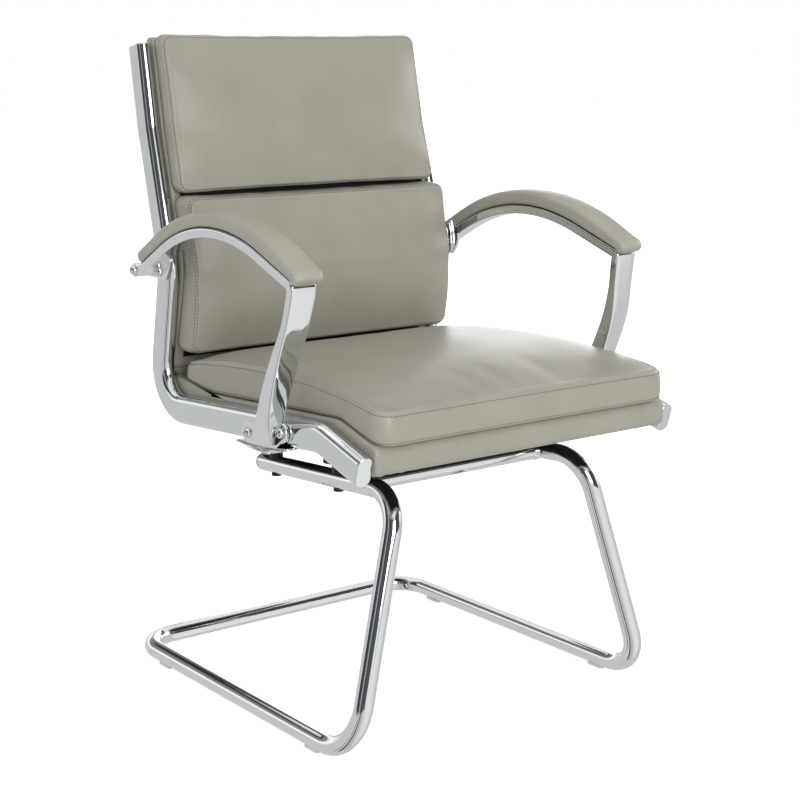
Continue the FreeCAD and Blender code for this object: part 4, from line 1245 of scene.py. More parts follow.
def rounded_ring(width: float, length: float, corner: float, across: int,
                 along: int) -> np.ndarray:
    """Points round a rounded rectangle, counted out side by side.

    Each side runs from the middle of one corner's arc to the middle of the next
    and is shared out evenly by its length.

    Args:
        width: Full width.
        length: Full length.
        corner: Corner radius.
        across: Steps on the two sides along the width.
        along: Steps on the two sides along the length.

    Returns:
        Points of shape (2 * (across + along), 2), counter-clockwise from the
        first corner.
    """
    half_arc = 12
    angle = np.linspace(math.pi / 4, 3 * math.pi / 4, 2 * half_arc + 1)
    arc = corner * np.stack([np.cos(angle), np.sin(angle)], axis=1)
    runs = ((width / 2 - corner, length / 2 - corner, across),
            (length / 2 - corner, width / 2 - corner, along)) * 2
    sides = []
    for turn, (half, depth, count) in enumerate(runs):
        line = np.concatenate([arc[:half_arc + 1] + (half, depth),
                               arc[half_arc:] + (-half, depth)])
        run = path_length(line)
        at = np.linspace(0.0, run[-1], count, endpoint=False)
        a, b = np.interp(at, run, line[:, 0]), np.interp(at, run, line[:, 1])
        quarter = turn * math.pi / 2
        cosine, sine = round(math.cos(quarter)), round(math.sin(quarter))
        sides.append(np.stack([a * cosine - b * sine, a * sine + b * cosine], axis=1))
    return np.concatenate(sides)


def ring_sides(ring: np.ndarray, across: int, along: int) -> tuple[np.ndarray, ...]:
    """The four sides of a ring that starts at its far right corner.

    Args:
        ring: One row for each of the ring's 2 * (across + along) points.
        across: Steps along the width.
        along: Steps along the length.

    Returns:
        Bottom and top from left to right, left and right from bottom to top.
    """
    loop = np.concatenate([ring, ring[:1]])
    half = across + along
    return (loop[half:half + across + 1], loop[across::-1],
            loop[across:half + 1][::-1], loop[half + across:])


def coons(ring: np.ndarray, across: int, along: int) -> np.ndarray:
    """Fill a ring of points with a grid.

    Opposite sides are blended linearly both ways and the bilinear surface of
    the four corners is taken off once.

    Args:
        ring: Points of shape (2 * (across + along), d).
        across: Steps along the width.
        along: Steps along the length.

    Returns:
        Grid of shape (along + 1, across + 1, d), rows rising with the length.
    """
    bottom, top, left, right = ring_sides(ring, across, along)
    s = np.linspace(0.0, 1.0, across + 1)[None, :, None]
    t = np.linspace(0.0, 1.0, along + 1)[:, None, None]
    blend = ((1 - s) * left[:, None] + s * right[:, None]
             + (1 - t) * bottom[None] + t * top[None])
    corners = ((1 - s) * (1 - t) * left[0] + s * (1 - t) * right[0]
               + (1 - s) * t * left[-1] + s * t * right[-1])
    return blend - corners


@dataclass(frozen=True)
class Row:
    """One ring of a cushion's skin.

    face is how far it lies inside the seam, drop the share of the gusset below
    the seam, tuck how far it lies inside the base; lift is moved along the
    normal once the foam is in, and pinned rows stay where they are sewn.
    """

    face: float = 0.0
    drop: float = 0.0
    tuck: float = 0.0
    lift: float = 0.0
    pinned: bool = False


SEWN_ROWS = (
    Row(face=17.0), Row(face=12.0), Row(face=8.2), Row(face=5.4, lift=0.5),
    Row(face=3.2, lift=0.6), Row(face=1.4, lift=-0.2, pinned=True),
    Row(lift=-1.7, pinned=True), Row(drop=0.05, lift=-0.3, pinned=True),
    Row(drop=0.14, lift=0.5), Row(drop=0.30), Row(drop=0.50), Row(drop=0.70),
    Row(drop=0.86), Row(drop=0.96, tuck=0.6), Row(drop=1.0, tuck=3.0, pinned=True),
    Row(drop=1.0, tuck=9.0, pinned=True),
)


@dataclass(frozen=True)
class Foam:
    """How the cloth simulation fills a sewn skin.

    Stiffness and pressure are Blender's, slack is the share by which the fabric
    is larger than its skin, and reach is how far a point may move, in
    millimetres.
    """

    slack: float = 0.004
    reach: float = 10.0
    quality: int = 6
    mass: float = 0.3
    stretch: float = 40.0
    shear: float = 20.0
    bend: float = 6.0
    damping: float = 4.0
    pressure: float = 4.0
    frames: int = 20
    evened: int = 8

    def press(self, points: np.ndarray, quads: np.ndarray,
              pinned: np.ndarray) -> np.ndarray:
        """Run the cloth under pressure with its seams held.

        Args:
            points: Skin in metres.
            quads: Its faces.
            pinned: Which points are held.

        Returns:
            The points as they lie on the last frame.
        """
        mesh = bpy.data.meshes.new("filling")
        mesh.from_pydata(points.tolist(), [], quads.tolist())
        body = bpy.data.objects.new("filling", mesh)
        scene = bpy.context.scene
        scene.collection.objects.link(body)
        held = body.vertex_groups.new(name="held")
        held.add(np.flatnonzero(pinned).tolist(), 1.0, "REPLACE")
        cloth = body.modifiers.new("cloth", "CLOTH")
        fabric = cloth.settings
        fabric.quality = self.quality
        fabric.mass = self.mass
        fabric.tension_stiffness = fabric.compression_stiffness = self.stretch
        fabric.shear_stiffness = self.shear
        fabric.bending_stiffness = self.bend
        fabric.air_damping = self.damping
        fabric.shrink_min = fabric.shrink_max = -self.slack
        fabric.vertex_group_mass = "held"
        fabric.use_pressure = True
        fabric.uniform_pressure_force = self.pressure
        fabric.effector_weights.gravity = 0.0
        cloth.collision_settings.use_collision = False
        cloth.point_cache.frame_start = 1
        cloth.point_cache.frame_end = self.frames
        for number in range(1, self.frames + 1):
            scene.frame_set(number)
        result = body.evaluated_get(bpy.context.evaluated_depsgraph_get()).to_mesh()
        moved = np.empty(len(points) * 3)
        result.vertices.foreach_get("co", moved)
        scene.frame_set(1)
        bpy.data.objects.remove(body, do_unlink=True)
        bpy.data.meshes.remove(mesh)
        return moved.reshape(-1, 3)

    def fill(self, points: np.ndarray, quads: np.ndarray,
             pinned: np.ndarray) -> np.ndarray:
        """Fill a sewn skin, even out its puckers and cap how far it moves.

        The foam under the skin bridges short puckers, so each point's way is
        averaged with its neighbours' a few times. The cap is reach * tanh(way /
        reach), so that no edge shows where it sets in.

        Args:
            points: Skin in metres.
            quads: Its faces.
            pinned: Which points are held.

        Returns:
            The filled skin's points.
        """
        shift = self.press(points, quads, pinned) - points
        edges = np.stack([quads, np.roll(quads, -1, axis=1)], axis=-1).reshape(-1, 2)
        here, there = np.concatenate([edges, edges[:, ::-1]]).T
        near = np.maximum(np.bincount(here, minlength=len(points)), 1)[:, None]
        for _ in range(self.evened):
            total = np.zeros_like(shift)
            np.add.at(total, here, shift[there])
            shift = 0.5 * shift + 0.5 * total / near
            shift[pinned] = 0.0
        way = np.linalg.norm(shift, axis=1, keepdims=True)
        log.info("filling moved up to %.1f mm", way.max() / MM)
        reach = self.reach * MM
        return points + shift * reach * np.tanh(way / reach) / np.maximum(way, TINY)


@dataclass
class Cushion:
    """A box cushion: crowned face, gusset and flat back, sewn round its face.

    Local coordinates are millimetres across, along and outwards; place() puts
    them into the chair. stitches lists the rows of thread by how far each lies
    inside the seam, or by less than nothing down the gusset.
    """

    name: str
    node: str
    half_width: float
    low: float
    high: float
    seam: Callable[[np.ndarray], np.ndarray]
    crown: float
    place: Callable[[np.ndarray], np.ndarray]
    material: bpy.types.Material
    thread: bpy.types.Material
    stitches: tuple
    seam_inset: float = 1.5
    corner: float = 13.0
    corner_least: float = 6.0
    pull: float = 1.2
    bulge: float = 2.0
    pitch: float = 7.5
    shoulder: float = 0.62
    # powers of the crown's fall across and along
    rolls: tuple = (3.2, 3.2)
    # scale of the places down the gusset: its whole depth counts as so much
    gusset: float = 30.0
    foam: Foam = Foam()

    @property
    def counts(self) -> tuple[int, int]:
        """Steps across and along the face."""
        return (int(2 * self.half_width / self.pitch),
                int((self.high - self.low) / self.pitch))

    def shape(self, flat: np.ndarray) -> np.ndarray:
        """Height of the crown over the seam.

        The product of one falling curve each way, (1 - |a| ^ roll) ^ shoulder.

        Args:
            flat: Points (across, along) from the middle, shape (..., 2).

        Returns:
            Heights in millimetres.
        """
        reach = np.array([self.half_width, (self.high - self.low) / 2]) - self.seam_inset
        share = np.clip(np.abs(flat / reach), 0.0, 1.0)
        fall = (1 - share ** np.array(self.rolls)) ** self.shoulder
        return self.crown * fall.prod(axis=-1)

    def ring_row(self, row: Row) -> np.ndarray:
        """One ring of local points.

        Args:
            row: What the ring is.

        Returns:
            Points of shape (n, 3).
        """
        swell = self.bulge * math.sin(math.pi * row.drop)
        inset = row.face + row.tuck + self.seam_inset * (1 - row.drop) - swell
        corner = max(self.corner - inset / 2, self.corner_least)
        flat = rounded_ring(2 * (self.half_width - inset), self.high - self.low - 2 * inset,
                            corner, *self.counts)
        flat = self.pulled(flat)
        middle = (self.high + self.low) / 2
        height = self.seam(flat[:, 1] + middle) * (1 - row.drop)
        if row.face > 0:
            height = height + self.shape(flat)
        return np.column_stack([flat[:, 0], flat[:, 1] + middle, height])

    def pulled(self, flat: np.ndarray) -> np.ndarray:
        """Draw the sides in between the corners, most in the middle of each.

        Args:
            flat: Points (across, along) from the middle.

        Returns:
            The moved points.
        """
        reach = np.array([self.half_width, (self.high - self.low) / 2])
        share = np.clip(flat / reach, -1.0, 1.0) ** 2
        return flat * (1 - self.pull / reach * (1 - share[:, ::-1]))

    def skin(self) -> tuple[np.ndarray, np.ndarray, np.ndarray]:
        """The whole skin before the foam fills it.

        Returns:
            Local points, quads, and which points are pinned.
        """
        across, along = self.counts
        rings = np.array([self.ring_row(row) for row in SEWN_ROWS])
        middle = (self.high + self.low) / 2
        face = coons(rings[0], across, along)
        face[..., 2] = (self.seam(face[..., 1].ravel()).reshape(face.shape[:2])
                        + self.shape(face[..., :2] - (0.0, middle)))
        back = coons(rings[-1], across, along)
        size = rings.shape[1]
        ring_points = rings.reshape(-1, 3)
        inner = (along - 1) * (across - 1)
        points = np.concatenate([ring_points, face[1:-1, 1:-1].reshape(-1, 3),
                                 back[1:-1, 1:-1].reshape(-1, 3)])
        quads = [grid_quads(len(rings), size)]
        for start, first in ((0, len(ring_points)),
                             (size * (len(rings) - 1), len(ring_points) + inner)):
            at = coons_index(across, along, start, first)
            quads.append(np.stack([at[:-1, :-1], at[:-1, 1:], at[1:, 1:], at[1:, :-1]],
                                  axis=-1).reshape(-1, 4))
        pinned = np.zeros(len(points), bool)
        pinned[:len(ring_points)] = np.repeat([row.pinned for row in SEWN_ROWS], size)
        pinned[len(ring_points) + inner:] = True
        return points, np.concatenate(quads), pinned

    def build(self) -> None:
        """Sew, fill, groove and stitch the cushion."""
        local, quads, pinned = self.skin()
        points = self.place(local) * MM
        points = self.foam.fill(points, quads, pinned)
        log.info("%s: foam in", self.name)
        size = 2 * sum(self.counts)
        rings = points[:size * len(SEWN_ROWS)].reshape(len(SEWN_ROWS), size, 3)
        normal = ring_normals(rings)
        lift = np.array([row.lift for row in SEWN_ROWS])[:, None, None] * MM
        rings += normal * lift
        piece = make_piece(self.name, points, quads, self.material)
        smooth = piece.modifiers.new("smooth", "SUBSURF")
        smooth.levels = smooth.render_levels = 1
        dress(piece, [self.node])
        self.stitch(rings, normal)

    def stitch(self, rings: np.ndarray, normal: np.ndarray) -> None:
        """Lay rows of thread beside the seam.

        Args:
            rings: The skin's rings, shape (rows, n, 3).
            normal: Their outward directions.
        """
        offsets = np.array([row.face - row.drop * self.gusset for row in SEWN_ROWS])
        order = np.argsort(offsets)
        for number, offset in enumerate(self.stitches, 1):
            line = blend_rows(rings[order], offsets[order], offset)
            out = blend_rows(normal[order], offsets[order], offset)
            piece = Stitch().row(f"{self.name}_stitch_{number}", line, out, self.thread)
            dress(piece, [])


def coons_index(across: int, along: int, start: int, first: int) -> np.ndarray:
    """Point numbers of a filled ring, as a grid.

    Args:
        across: Steps along the width.
        along: Steps along the length.
        start: Number of the ring's first point.
        first: Number of the first inner point.

    Returns:
        Numbers of shape (along + 1, across + 1).
    """
    ring = np.arange(2 * (across + along)) + start
    numbers = np.zeros((along + 1, across + 1), int)
    numbers[0], numbers[-1], numbers[:, 0], numbers[:, -1] = ring_sides(ring, across, along)
    inner = np.arange((along - 1) * (across - 1)).reshape(along - 1, across - 1)
    numbers[1:-1, 1:-1] = inner + first
    return numbers


def ring_normals(rings: np.ndarray) -> np.ndarray:
    """Outward directions of rings that run outwards from the middle of a face.

    Args:
        rings: Points of shape (rows, n, 3).

    Returns:
        Unit vectors of the same shape.
    """
    around = np.roll(rings, -1, axis=1) - np.roll(rings, 1, axis=1)
    outward = np.gradient(rings, axis=0)
    return unit(np.cross(outward, around) + 1e-12)


def blend_rows(rows: np.ndarray, marks: np.ndarray, at: float) -> np.ndarray:
    """Read between rows that lie at rising marks.

    Args:
        rows: Rows of points.
        marks: One mark for each row.
        at: Mark to read at.

    Returns:
        One row of points.
    """
    above = int(np.clip(np.searchsorted(marks, at), 1, len(marks) - 1))
    share = (at - marks[above - 1]) / max(marks[above] - marks[above - 1], TINY)
    return rows[above - 1] * (1 - share) + rows[above] * share


@dataclass(frozen=True)
class Stitch:
    """One stitch of the seams: a small closed spindle, half sunk into the skin.

    Its rings lie at shares of its half length and have shares of its girth.
    """

    pitch_mm: float = 4.8
    half_length_mm: float = 1.6
    girth_mm: float = 0.6
    sides: int = 6
    places: tuple = (-0.72, 0.0, 0.72)
    girths: tuple = (0.8, 1.0, 0.8)

    def spindle(self) -> np.ndarray:
        """Points of one stitch: a tip, its rings and the other tip.

        Returns:
            Points (along, across, out) of shape (n, 3), in metres.
        """
        rings = np.array(self.girths)[:, None, None] * circle_profile(1.0, self.sides)
        body = np.column_stack([np.repeat(self.places, self.sides), rings.reshape(-1, 2)])
        sizes = np.array([self.half_length_mm, self.girth_mm, self.girth_mm]) * MM
        return np.concatenate([[[-1.0, 0.0, 0.0]], body, [[1.0, 0.0, 0.0]]]) * sizes

    def row(self, name: str, line: np.ndarray, out: np.ndarray,
            material: bpy.types.Material) -> bpy.types.Object:
        """A row of stitches along a closed line.

        Args:
            name: Name of the piece.
            line: Closed line in metres, shape (n, 3).
            out: Outward directions along it.
            material: Finish of the thread.

        Returns:
            The linked object.
        """
        loop, outs = np.concatenate([line, line[:1]]), np.concatenate([out, out[:1]])
        run = path_length(loop)
        count = int(run[-1] / (self.pitch_mm * MM))
        at = np.arange(count) * run[-1] / count
        centre, normal = read_along(at, run, loop), unit(read_along(at, run, outs))
        along = unit(read_along(at + MM, run, loop) - centre + normal * TINY)
        side = unit(np.cross(normal, along))
        shape = self.spindle()[None]
        points = (centre[:, None] + along[:, None] * shape[..., :1]
                  + side[:, None] * shape[..., 1:2] + normal[:, None] * shape[..., 2:])
        size = shape.shape[1]
        ring = np.arange(self.sides)
        after = (ring + 1) % self.sides
        final = size - 1 - self.sides
        quads = grid_quads(len(self.places), self.sides, first=1)
        tips = np.concatenate([
            np.stack([after + 1, ring + 1, np.zeros_like(ring)], axis=1),
            np.stack([ring + final, after + final, np.full_like(ring, size - 1)], axis=1)])
        shifts = (np.arange(count) * size)[:, None, None]
        faces = (quads[None] + shifts).reshape(-1, 4).tolist()
        faces += (tips[None] + shifts).reshape(-1, 3).tolist()
        return make_piece(name, points, faces, material, flip_check=False)


@dataclass
class Shells:
    """Upholstered panels of back and seat between the rails; millimetres."""

    finishes: Finishes
    edge: float = 3.5
    step: float = 6.0
    # folds at the nose's corners: depth, and the bands that they fade over
    fold_depth: float = 0.7
    fold_across: tuple = (150.0, 225.0)
    fold_ahead: tuple = (215.0, 280.0)
    fold_ends: tuple = (232.0, 238.0)
    back: tuple = (
        (206.5, 432.1, 2.0), (228.5, 432.1, 2.0), (193.8, 574.5, 120.0),
        (242.5, 760.4, 150.0), (264.4, 884.0, 9.0), (242.4, 884.0, 9.0),
        (220.5, 760.4, 150.0), (171.8, 574.5, 120.0),
    )
    seat: tuple = (
        (206.5, 431.8, 2.0), (206.5, 405.5, 8.0), (-209.8, 433.0, 80.0),
        (-291.0, 412.0, 14.0), (-291.0, 374.0, 10.0), (-189.8, 397.5, 60.0),
        (228.5, 365.8, 45.0), (228.5, 431.8, 2.0),
    )

    def build(self) -> None:
        """Make both panels."""
        self.panel("back_panel", "back_shell", self.back)
        self.panel("seat_panel", "seat_shell", self.seat)

    def panel(self, name: str, node: str, corners: tuple) -> None:
        """One panel: its outline carried across, drawn in at both sides.

        Args:
            name: Name of the piece.
            node: The node it stands for.
            corners: Corners (y, z, radius) of the outline.
        """
        outline = closed_outline(corners, self.step)
        turn = np.linspace(0.0, math.pi / 2, 7)
        inner = np.linspace(-1.0, 1.0, 61)[1:-1] * (PANEL_HALF - self.edge)
        reach = PANEL_HALF - self.edge * (1 - np.cos(turn))
        inset = self.edge * (1 - np.sin(turn))
        xs = np.concatenate([-reach, inner, reach[::-1]])
        insets = np.concatenate([inset, np.zeros(len(inner)), inset[::-1]])
        grid = slab_rows(outline, xs, insets)
        grid[..., 1:] += outline_normals(outline)[None] * self.creases(grid)[..., None]
        grid[..., 0] *= narrowing(grid[..., 1], grid[..., 2])
        piece = closed_tube(name, leaned(grid * MM, inwards=False), self.finishes.leather)
        dress(piece, [node])

    def creases(self, grid: np.ndarray) -> np.ndarray:
        """Depth of the folds where the cover is pulled round the nose.

        Sine waves across the corners, faded out towards the middle and away
        from the nose.

        Args:
            grid: Points in millimetres.

        Returns:
            Outward shift of every point.
        """
        x, y, z = np.moveaxis(grid, -1, 0)
        x = np.abs(x)
        near = (fade(x, *self.fold_across) * fade(-y, *self.fold_ahead)
                * (1 - fade(x, *self.fold_ends)))
        # two waves that slant against each other, in radians per millimetre
        wave = np.sin(x * 0.42 + z * 0.30) + 0.6 * np.sin(x * 0.23 - z * 0.5)
        return self.fold_depth * near * wave


def closed_outline(corners: Sequence[tuple], step: float) -> np.ndarray:
    """A closed outline with rounded corners.

    Args:
        corners: Corners (y, z, radius).
        step: Distance between points on straight runs.

    Returns:
        Points of shape (n, 2).
    """
    flat = [(y, z, 0.0) for y, z, _ in corners]
    start = tuple((np.array(flat[0]) + flat[-1]) / 2)
    path = rounded_path([start, *flat, start], [r for _, _, r in corners], step)
    return path[:-1, :2]


@dataclass
class Upholstery:
    """The three cushions and where each one rests; millimetres."""

    finishes: Finishes
    # seams over the base: places along the cushion and heights there
    upper_seam: tuple = ((677.0, 887.0), (22.0, 21.0))
    lower_seam: tuple = ((458.0, 516.0, 571.0, 620.0, 672.0), (45.0, 41.0, 31.0, 33.0, 41.0))

    @staticmethod
    def back_y(z: np.ndarray) -> np.ndarray:
        """Front of the lining at a height."""
        return np.interp(z, (431.8, 574.5, 760.4, 884.0), (204.4, 169.7, 218.4, 240.3))

    @staticmethod
    def seat_z(y: np.ndarray) -> np.ndarray:
        """Top of the seat shell under the cushion."""
        return np.interp(y, (-291.0, -209.8, 206.5), (412.8, 433.8, 406.3))

    @classmethod
    def on_back(cls, local: np.ndarray) -> np.ndarray:
        """Put a back cushion's points into the chair.

        Args:
            local: Points (across, up, out).

        Returns:
            Points (x, y, z) in millimetres.
        """
        across, up, out = local.T
        rest = cls.back_y(up)
        points = np.stack([across * narrowing(rest, up), rest - out, up], axis=1)
        return leaned(points * MM, inwards=False) / MM

    @classmethod
    def on_seat(cls, local: np.ndarray) -> np.ndarray:
        """Put the seat cushion's points into the chair.

        Args:
            local: Points (across, forwards, up).

        Returns:
            Points (x, y, z) in millimetres.
        """
        across, ahead, up = local.T
        width = narrowing(-ahead, np.zeros_like(ahead))
        return np.stack([-across * width, -ahead, cls.seat_z(-ahead) + up], axis=1)

    def build(self) -> None:
        """Make the three cushions."""
        skin = {"material": self.finishes.leather, "thread": self.finishes.thread}
        Cushion("upper_cushion", "upper_back_cushion", half_width=238.0, low=677.0,
                high=887.0, seam=lambda z: np.interp(z, *self.upper_seam), crown=17.0,
                place=self.on_back, stitches=(0.9,), **skin).build()
        Cushion("lower_cushion", "lower_back_cushion", half_width=238.5, low=458.0,
                high=672.0, seam=lambda z: smooth_values(*self.lower_seam, z), crown=15.0,
                place=self.on_back, stitches=(1.2, -2.2), **skin).build()
        Cushion("seat_cushion_pad", "seat_cushion", half_width=236.5, low=-186.0,
                high=297.5, seam=self.seat_rise, crown=12.5, place=self.on_seat,
                stitches=(-2.4, -26.8), corner=24.0, pull=2.0, bulge=2.4,
                rolls=(6.0, 3.2), foam=Foam(reach=4.0), **skin).build()

    @classmethod
    def seat_rise(cls, ahead: np.ndarray) -> np.ndarray:
        """Height of the seat's seam over its base: one parabola from side to nose.

        Args:
            ahead: Places towards the front, in millimetres.

        Returns:
            Heights in millimetres.
        """
        knots, heights = (-186.0, 189.8, 297.5), (442.8, 463.0, 452.0)
        line = np.polyval(np.polyfit(knots, heights, 2), ahead)
        return line - cls.seat_z(-ahead)


# Studio

@dataclass(frozen=True)
class Lamp:
    """A square soft lamp: its place and side in metres, its power in watts."""

    name: str
    place: tuple
    size: float
    power: float

    def hang(self, aim: Sequence[float]) -> None:
        """Put the lamp up, out of the camera's sight.

        Args:
            aim: Point that it looks at.
        """
        light = bpy.data.lights.new(self.name, "AREA")
        light.size = self.size
        light.energy = self.power
        made = bpy.data.objects.new(self.name, light)
        made.visible_camera = False
        made.location = self.place
        look(made, Vector(aim) - Vector(self.place))
        bpy.context.scene.collection.objects.link(made)


def look(made: bpy.types.Object, way: Vector) -> None:
    """Turn a lamp or a camera so that it looks one way, its top up."""
    made.rotation_euler = way.to_track_quat("-Z", "Y").to_euler()


@dataclass
class Studio:
    """White floor and surroundings, soft lamps and the camera; metres."""

    lamps: tuple = (
        Lamp("key", (-0.8, -3.0, 1.3), 1.5, 32.0),
        Lamp("fill", (2.6, -0.4, 1.5), 1.2, 10.0),
        # low behind the chair: its gleam lies on the seat's far half
        Lamp("rear", (1.9, 2.1, 1.1), 1.5, 13.0),
    )
    aim: tuple = (0.0, 0.0, 0.5)
    floor_reach: float = 12.0
    # the floor's glow rises over shares of this distance from the middle
    glow_span: float = 10.0
    # the camera as solved from the photograph's straight tubes
    eye: tuple = (-1.397, -1.856, 0.877)
    view: tuple = (0.5935, 0.7785, -0.2040)
    lens_mm: float = 77.175
    sensor_mm: float = 36.0

    def build(self) -> None:
        """Set everything up round the chair."""
        self.floor()
        self.surroundings()
        for lamp in self.lamps:
            lamp.hang(self.aim)
        self.camera()

    def floor(self) -> None:
        """A large pale floor that keeps the chair's shadow.

        The camera sees its paint and a glow that turns it white away from the
        chair. Mirrors look past it, at the surroundings' lower half.
        """
        mesh = bpy.data.meshes.new("floor")
        reach = self.floor_reach
        mesh.from_pydata([(-reach, -reach, 0), (reach, -reach, 0), (reach, reach, 0),
                          (-reach, reach, 0)], [], [(0, 1, 2, 3)])
        floor = bpy.data.objects.new("floor", mesh)
        bpy.context.scene.collection.objects.link(floor)
        material, tree, surface, at = new_material("studio_floor")
        paint = add_node(tree, "ShaderNodeBsdfDiffuse", values={"Color": grey(0.82)})
        away = add_node(tree, "ShaderNodeVectorMath", {0: at.outputs["Object"]},
                        operation="LENGTH")
        share = add_node(tree, "ShaderNodeMath", {0: away.outputs["Value"]},
                         {1: 1 / self.glow_span}, operation="MULTIPLY")
        white = add_node(tree, "ShaderNodeValToRGB", {"Fac": share.outputs["Value"]},
                         stops=shades((0.04, 0.62), (0.20, 1.0)))
        glow = add_node(tree, "ShaderNodeEmission", {"Color": white.outputs["Color"]})
        lit = add_node(tree, "ShaderNodeAddShader", {0: paint.outputs[0], 1: glow.outputs[0]})
        past = add_node(tree, "ShaderNodeBsdfTransparent")
        rays = add_node(tree, "ShaderNodeLightPath")
        mirrored = add_node(tree, "ShaderNodeMixShader",
                            {"Fac": rays.outputs["Is Glossy Ray"], 1: paint.outputs[0],
                             2: past.outputs[0]})
        mix = add_node(tree, "ShaderNodeMixShader",
                       {"Fac": rays.outputs["Is Camera Ray"], 1: mirrored.outputs[0],
                        2: lit.outputs[0]})
        tree.links.new(mix.outputs[0], surface)
        mesh.materials.append(material)

    def surroundings(self) -> None:
        """A white world for the eye, a room for mirrors and a soft dome as a light."""
        world = bpy.data.worlds.new("studio")
        bpy.context.scene.world = world
        world.use_nodes = True
        tree = world.node_tree
        tree.nodes.clear()
        output = add_node(tree, "ShaderNodeOutputWorld")
        at = add_node(tree, "ShaderNodeTexCoord")
        mirror = add_node(tree, "ShaderNodeBackground", {"Color": self.room(tree, at)},
                          {"Strength": 1.0})
        # the dome is brighter from the left and the front
        dome = add_node(tree, "ShaderNodeValToRGB",
                        {"Fac": self.reading(tree, at, (-0.75, -0.60, 0.28))},
                        stops=shades((0.10, 0.36), (0.90, 0.92)))
        plain = add_node(tree, "ShaderNodeBackground", {"Color": dome.outputs["Color"]},
                         {"Strength": 1.0})
        white = add_node(tree, "ShaderNodeBackground",
                         values={"Color": grey(1.0), "Strength": 1.0})
        rays = add_node(tree, "ShaderNodeLightPath")
        seen = plain
        for ray, shader in (("Glossy", mirror), ("Transmission", white), ("Camera", white)):
            seen = add_node(tree, "ShaderNodeMixShader",
                            {"Fac": rays.outputs[f"Is {ray} Ray"], 1: seen.outputs[0],
                             2: shader.outputs[0]})
        tree.links.new(seen.outputs[0], output.inputs["Surface"])

    def room(self, tree: bpy.types.NodeTree, at: bpy.types.Node) -> bpy.types.NodeSocket:
        """What mirrors see, painted by the direction that they look in.

        Args:
            tree: The world's node tree.
            at: Its coordinate node.

        Returns:
            Colour socket.
        """
        strips = self.reading(tree, at, (0.79, -0.61, 0.0))
        front = self.reading(tree, at, (-0.61, -0.79, 0.0))
        height = self.reading(tree, at, (0.0, 0.0, 1.0))
        # below the horizon the pale floor, with the thin dark lines of the room's edges
        floor = add_node(tree, "ShaderNodeValToRGB", {"Fac": strips}, stops=shades(
            (0.00, 0.66), (0.14, 0.70), (0.185, 0.08), (0.205, 0.80), (0.25, 0.85),
            (0.275, 0.03), (0.33, 0.04), (0.35, 0.60), (0.45, 0.52), (0.62, 0.80),
            (0.85, 0.95), (1.00, 0.85)))
        # above it in front a dark room with one lit strip
        dark = add_node(tree, "ShaderNodeValToRGB", {"Fac": strips}, stops=shades(
            (0.00, 0.04), (0.05, (0.055, 0.062, 0.075, 1.0)),
            (0.11, (0.11, 0.12, 0.14, 1.0)), (0.14, 0.42), (0.19, 0.45), (0.22, 0.05),
            (0.40, (0.10, 0.11, 0.13, 1.0)), (0.52, 0.06), (0.58, 0.30), (0.64, 1.0),
            (0.72, 1.0), (0.76, 0.10), (0.90, 0.05), (1.0, 0.10)))
        # and behind it a grey band under a bright ceiling
        rear = add_node(tree, "ShaderNodeValToRGB", {"Fac": height}, stops=shades(
            (0.00, 0.66), (0.40, 0.68), (0.50, 0.66), (0.58, 1.15), (0.63, 1.15),
            (0.68, 0.30), (0.765, 0.20), (0.78, 0.03), (0.80, 0.03), (0.82, 0.85),
            (1.0, 0.95)))
        ahead, above, over = (
            add_node(tree, "ShaderNodeMapRange", {"Value": value},
                     {"From Min": low, "From Max": high}).outputs["Result"]
            for value, low, high in ((front, 0.47, 0.53), (height, 0.50, 0.53),
                                     (height, 0.80, 0.86)))
        before = add_node(tree, "ShaderNodeMixRGB",
                          {"Fac": above, "Color1": floor.outputs["Color"],
                           "Color2": dark.outputs["Color"]})
        sides = add_node(tree, "ShaderNodeMixRGB",
                         {"Fac": ahead, "Color1": rear.outputs["Color"],
                          "Color2": before.outputs[0]})
        return add_node(tree, "ShaderNodeMixRGB", {"Fac": over, "Color1": sides.outputs[0]},
                        {"Color2": grey(0.95)}).outputs[0]

    @staticmethod
    def reading(tree: bpy.types.NodeTree, at: bpy.types.Node,
                way: tuple) -> bpy.types.NodeSocket:
        """How far a direction points one way, from 0 to 1.

        Args:
            tree: Node tree.
            at: Coordinate node.
            way: Unit direction.

        Returns:
            Socket with half of the cosine plus a half.
        """
        cosine = add_node(tree, "ShaderNodeVectorMath", {0: at.outputs["Generated"]},
                          {1: way}, operation="DOT_PRODUCT")
        return add_node(tree, "ShaderNodeMath", {0: cosine.outputs["Value"]},
                        {1: 0.5, 2: 0.5}, operation="MULTIPLY_ADD").outputs["Value"]

    def camera(self) -> None:
        """The camera at the photograph's viewpoint."""
        lens = bpy.data.cameras.new("camera")
        lens.lens = self.lens_mm
        lens.sensor_width = self.sensor_mm
        made = bpy.data.objects.new("camera", lens)
        made.location = self.eye
        look(made, Vector(self.view))
        bpy.context.scene.collection.objects.link(made)
        bpy.context.scene.camera = made


@dataclass
class CarriedOver:
    """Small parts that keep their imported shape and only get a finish."""

    finishes: Finishes

    def build(self) -> None:
        """Give each of them its finish."""
        given = {
            self.finishes.cloth: ("back_lining", "seat_dust_cover"),
            self.finishes.paint: ("seat_crossbar_front", "seat_crossbar_rear",
                                  "arm_pad_board_right", "arm_pad_board_left", "sled_bolts"),
            self.finishes.plastic: ("sled_spacers",),
            self.finishes.nylon: ("floor_glides",),
            self.finishes.chrome: ("back_crossrod",),
        }
        for material, nodes in given.items():
            for node in nodes:
                mesh = bpy.data.objects[node].data
                mesh.materials.clear()
                mesh.materials.append(material)
                log.info("%s: packed shape, %s", node, material.name)


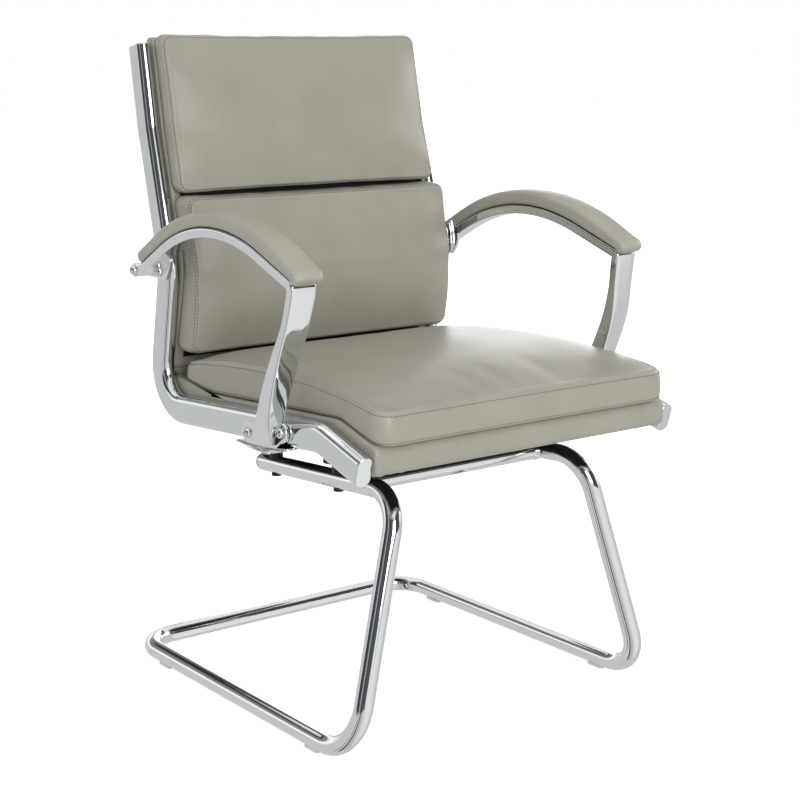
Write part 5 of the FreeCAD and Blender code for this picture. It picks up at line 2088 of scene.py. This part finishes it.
def main() -> None:
    """Build the whole chair and its studio."""
    logging.basicConfig(level=logging.INFO, format="%(name)s: %(message)s")
    bpy.context.scene.view_settings.view_transform = "Standard"
    finishes = Finishes()
    rails, arms = SideRails(finishes), Armrests(finishes)
    for side in Side:
        rails.build(side)
        arms.build(side)
    SledBase(finishes).build()
    Shells(finishes).build()
    Upholstery(finishes).build()
    CarriedOver(finishes).build()
    Studio().build()


if __name__ == "__main__":
    main()
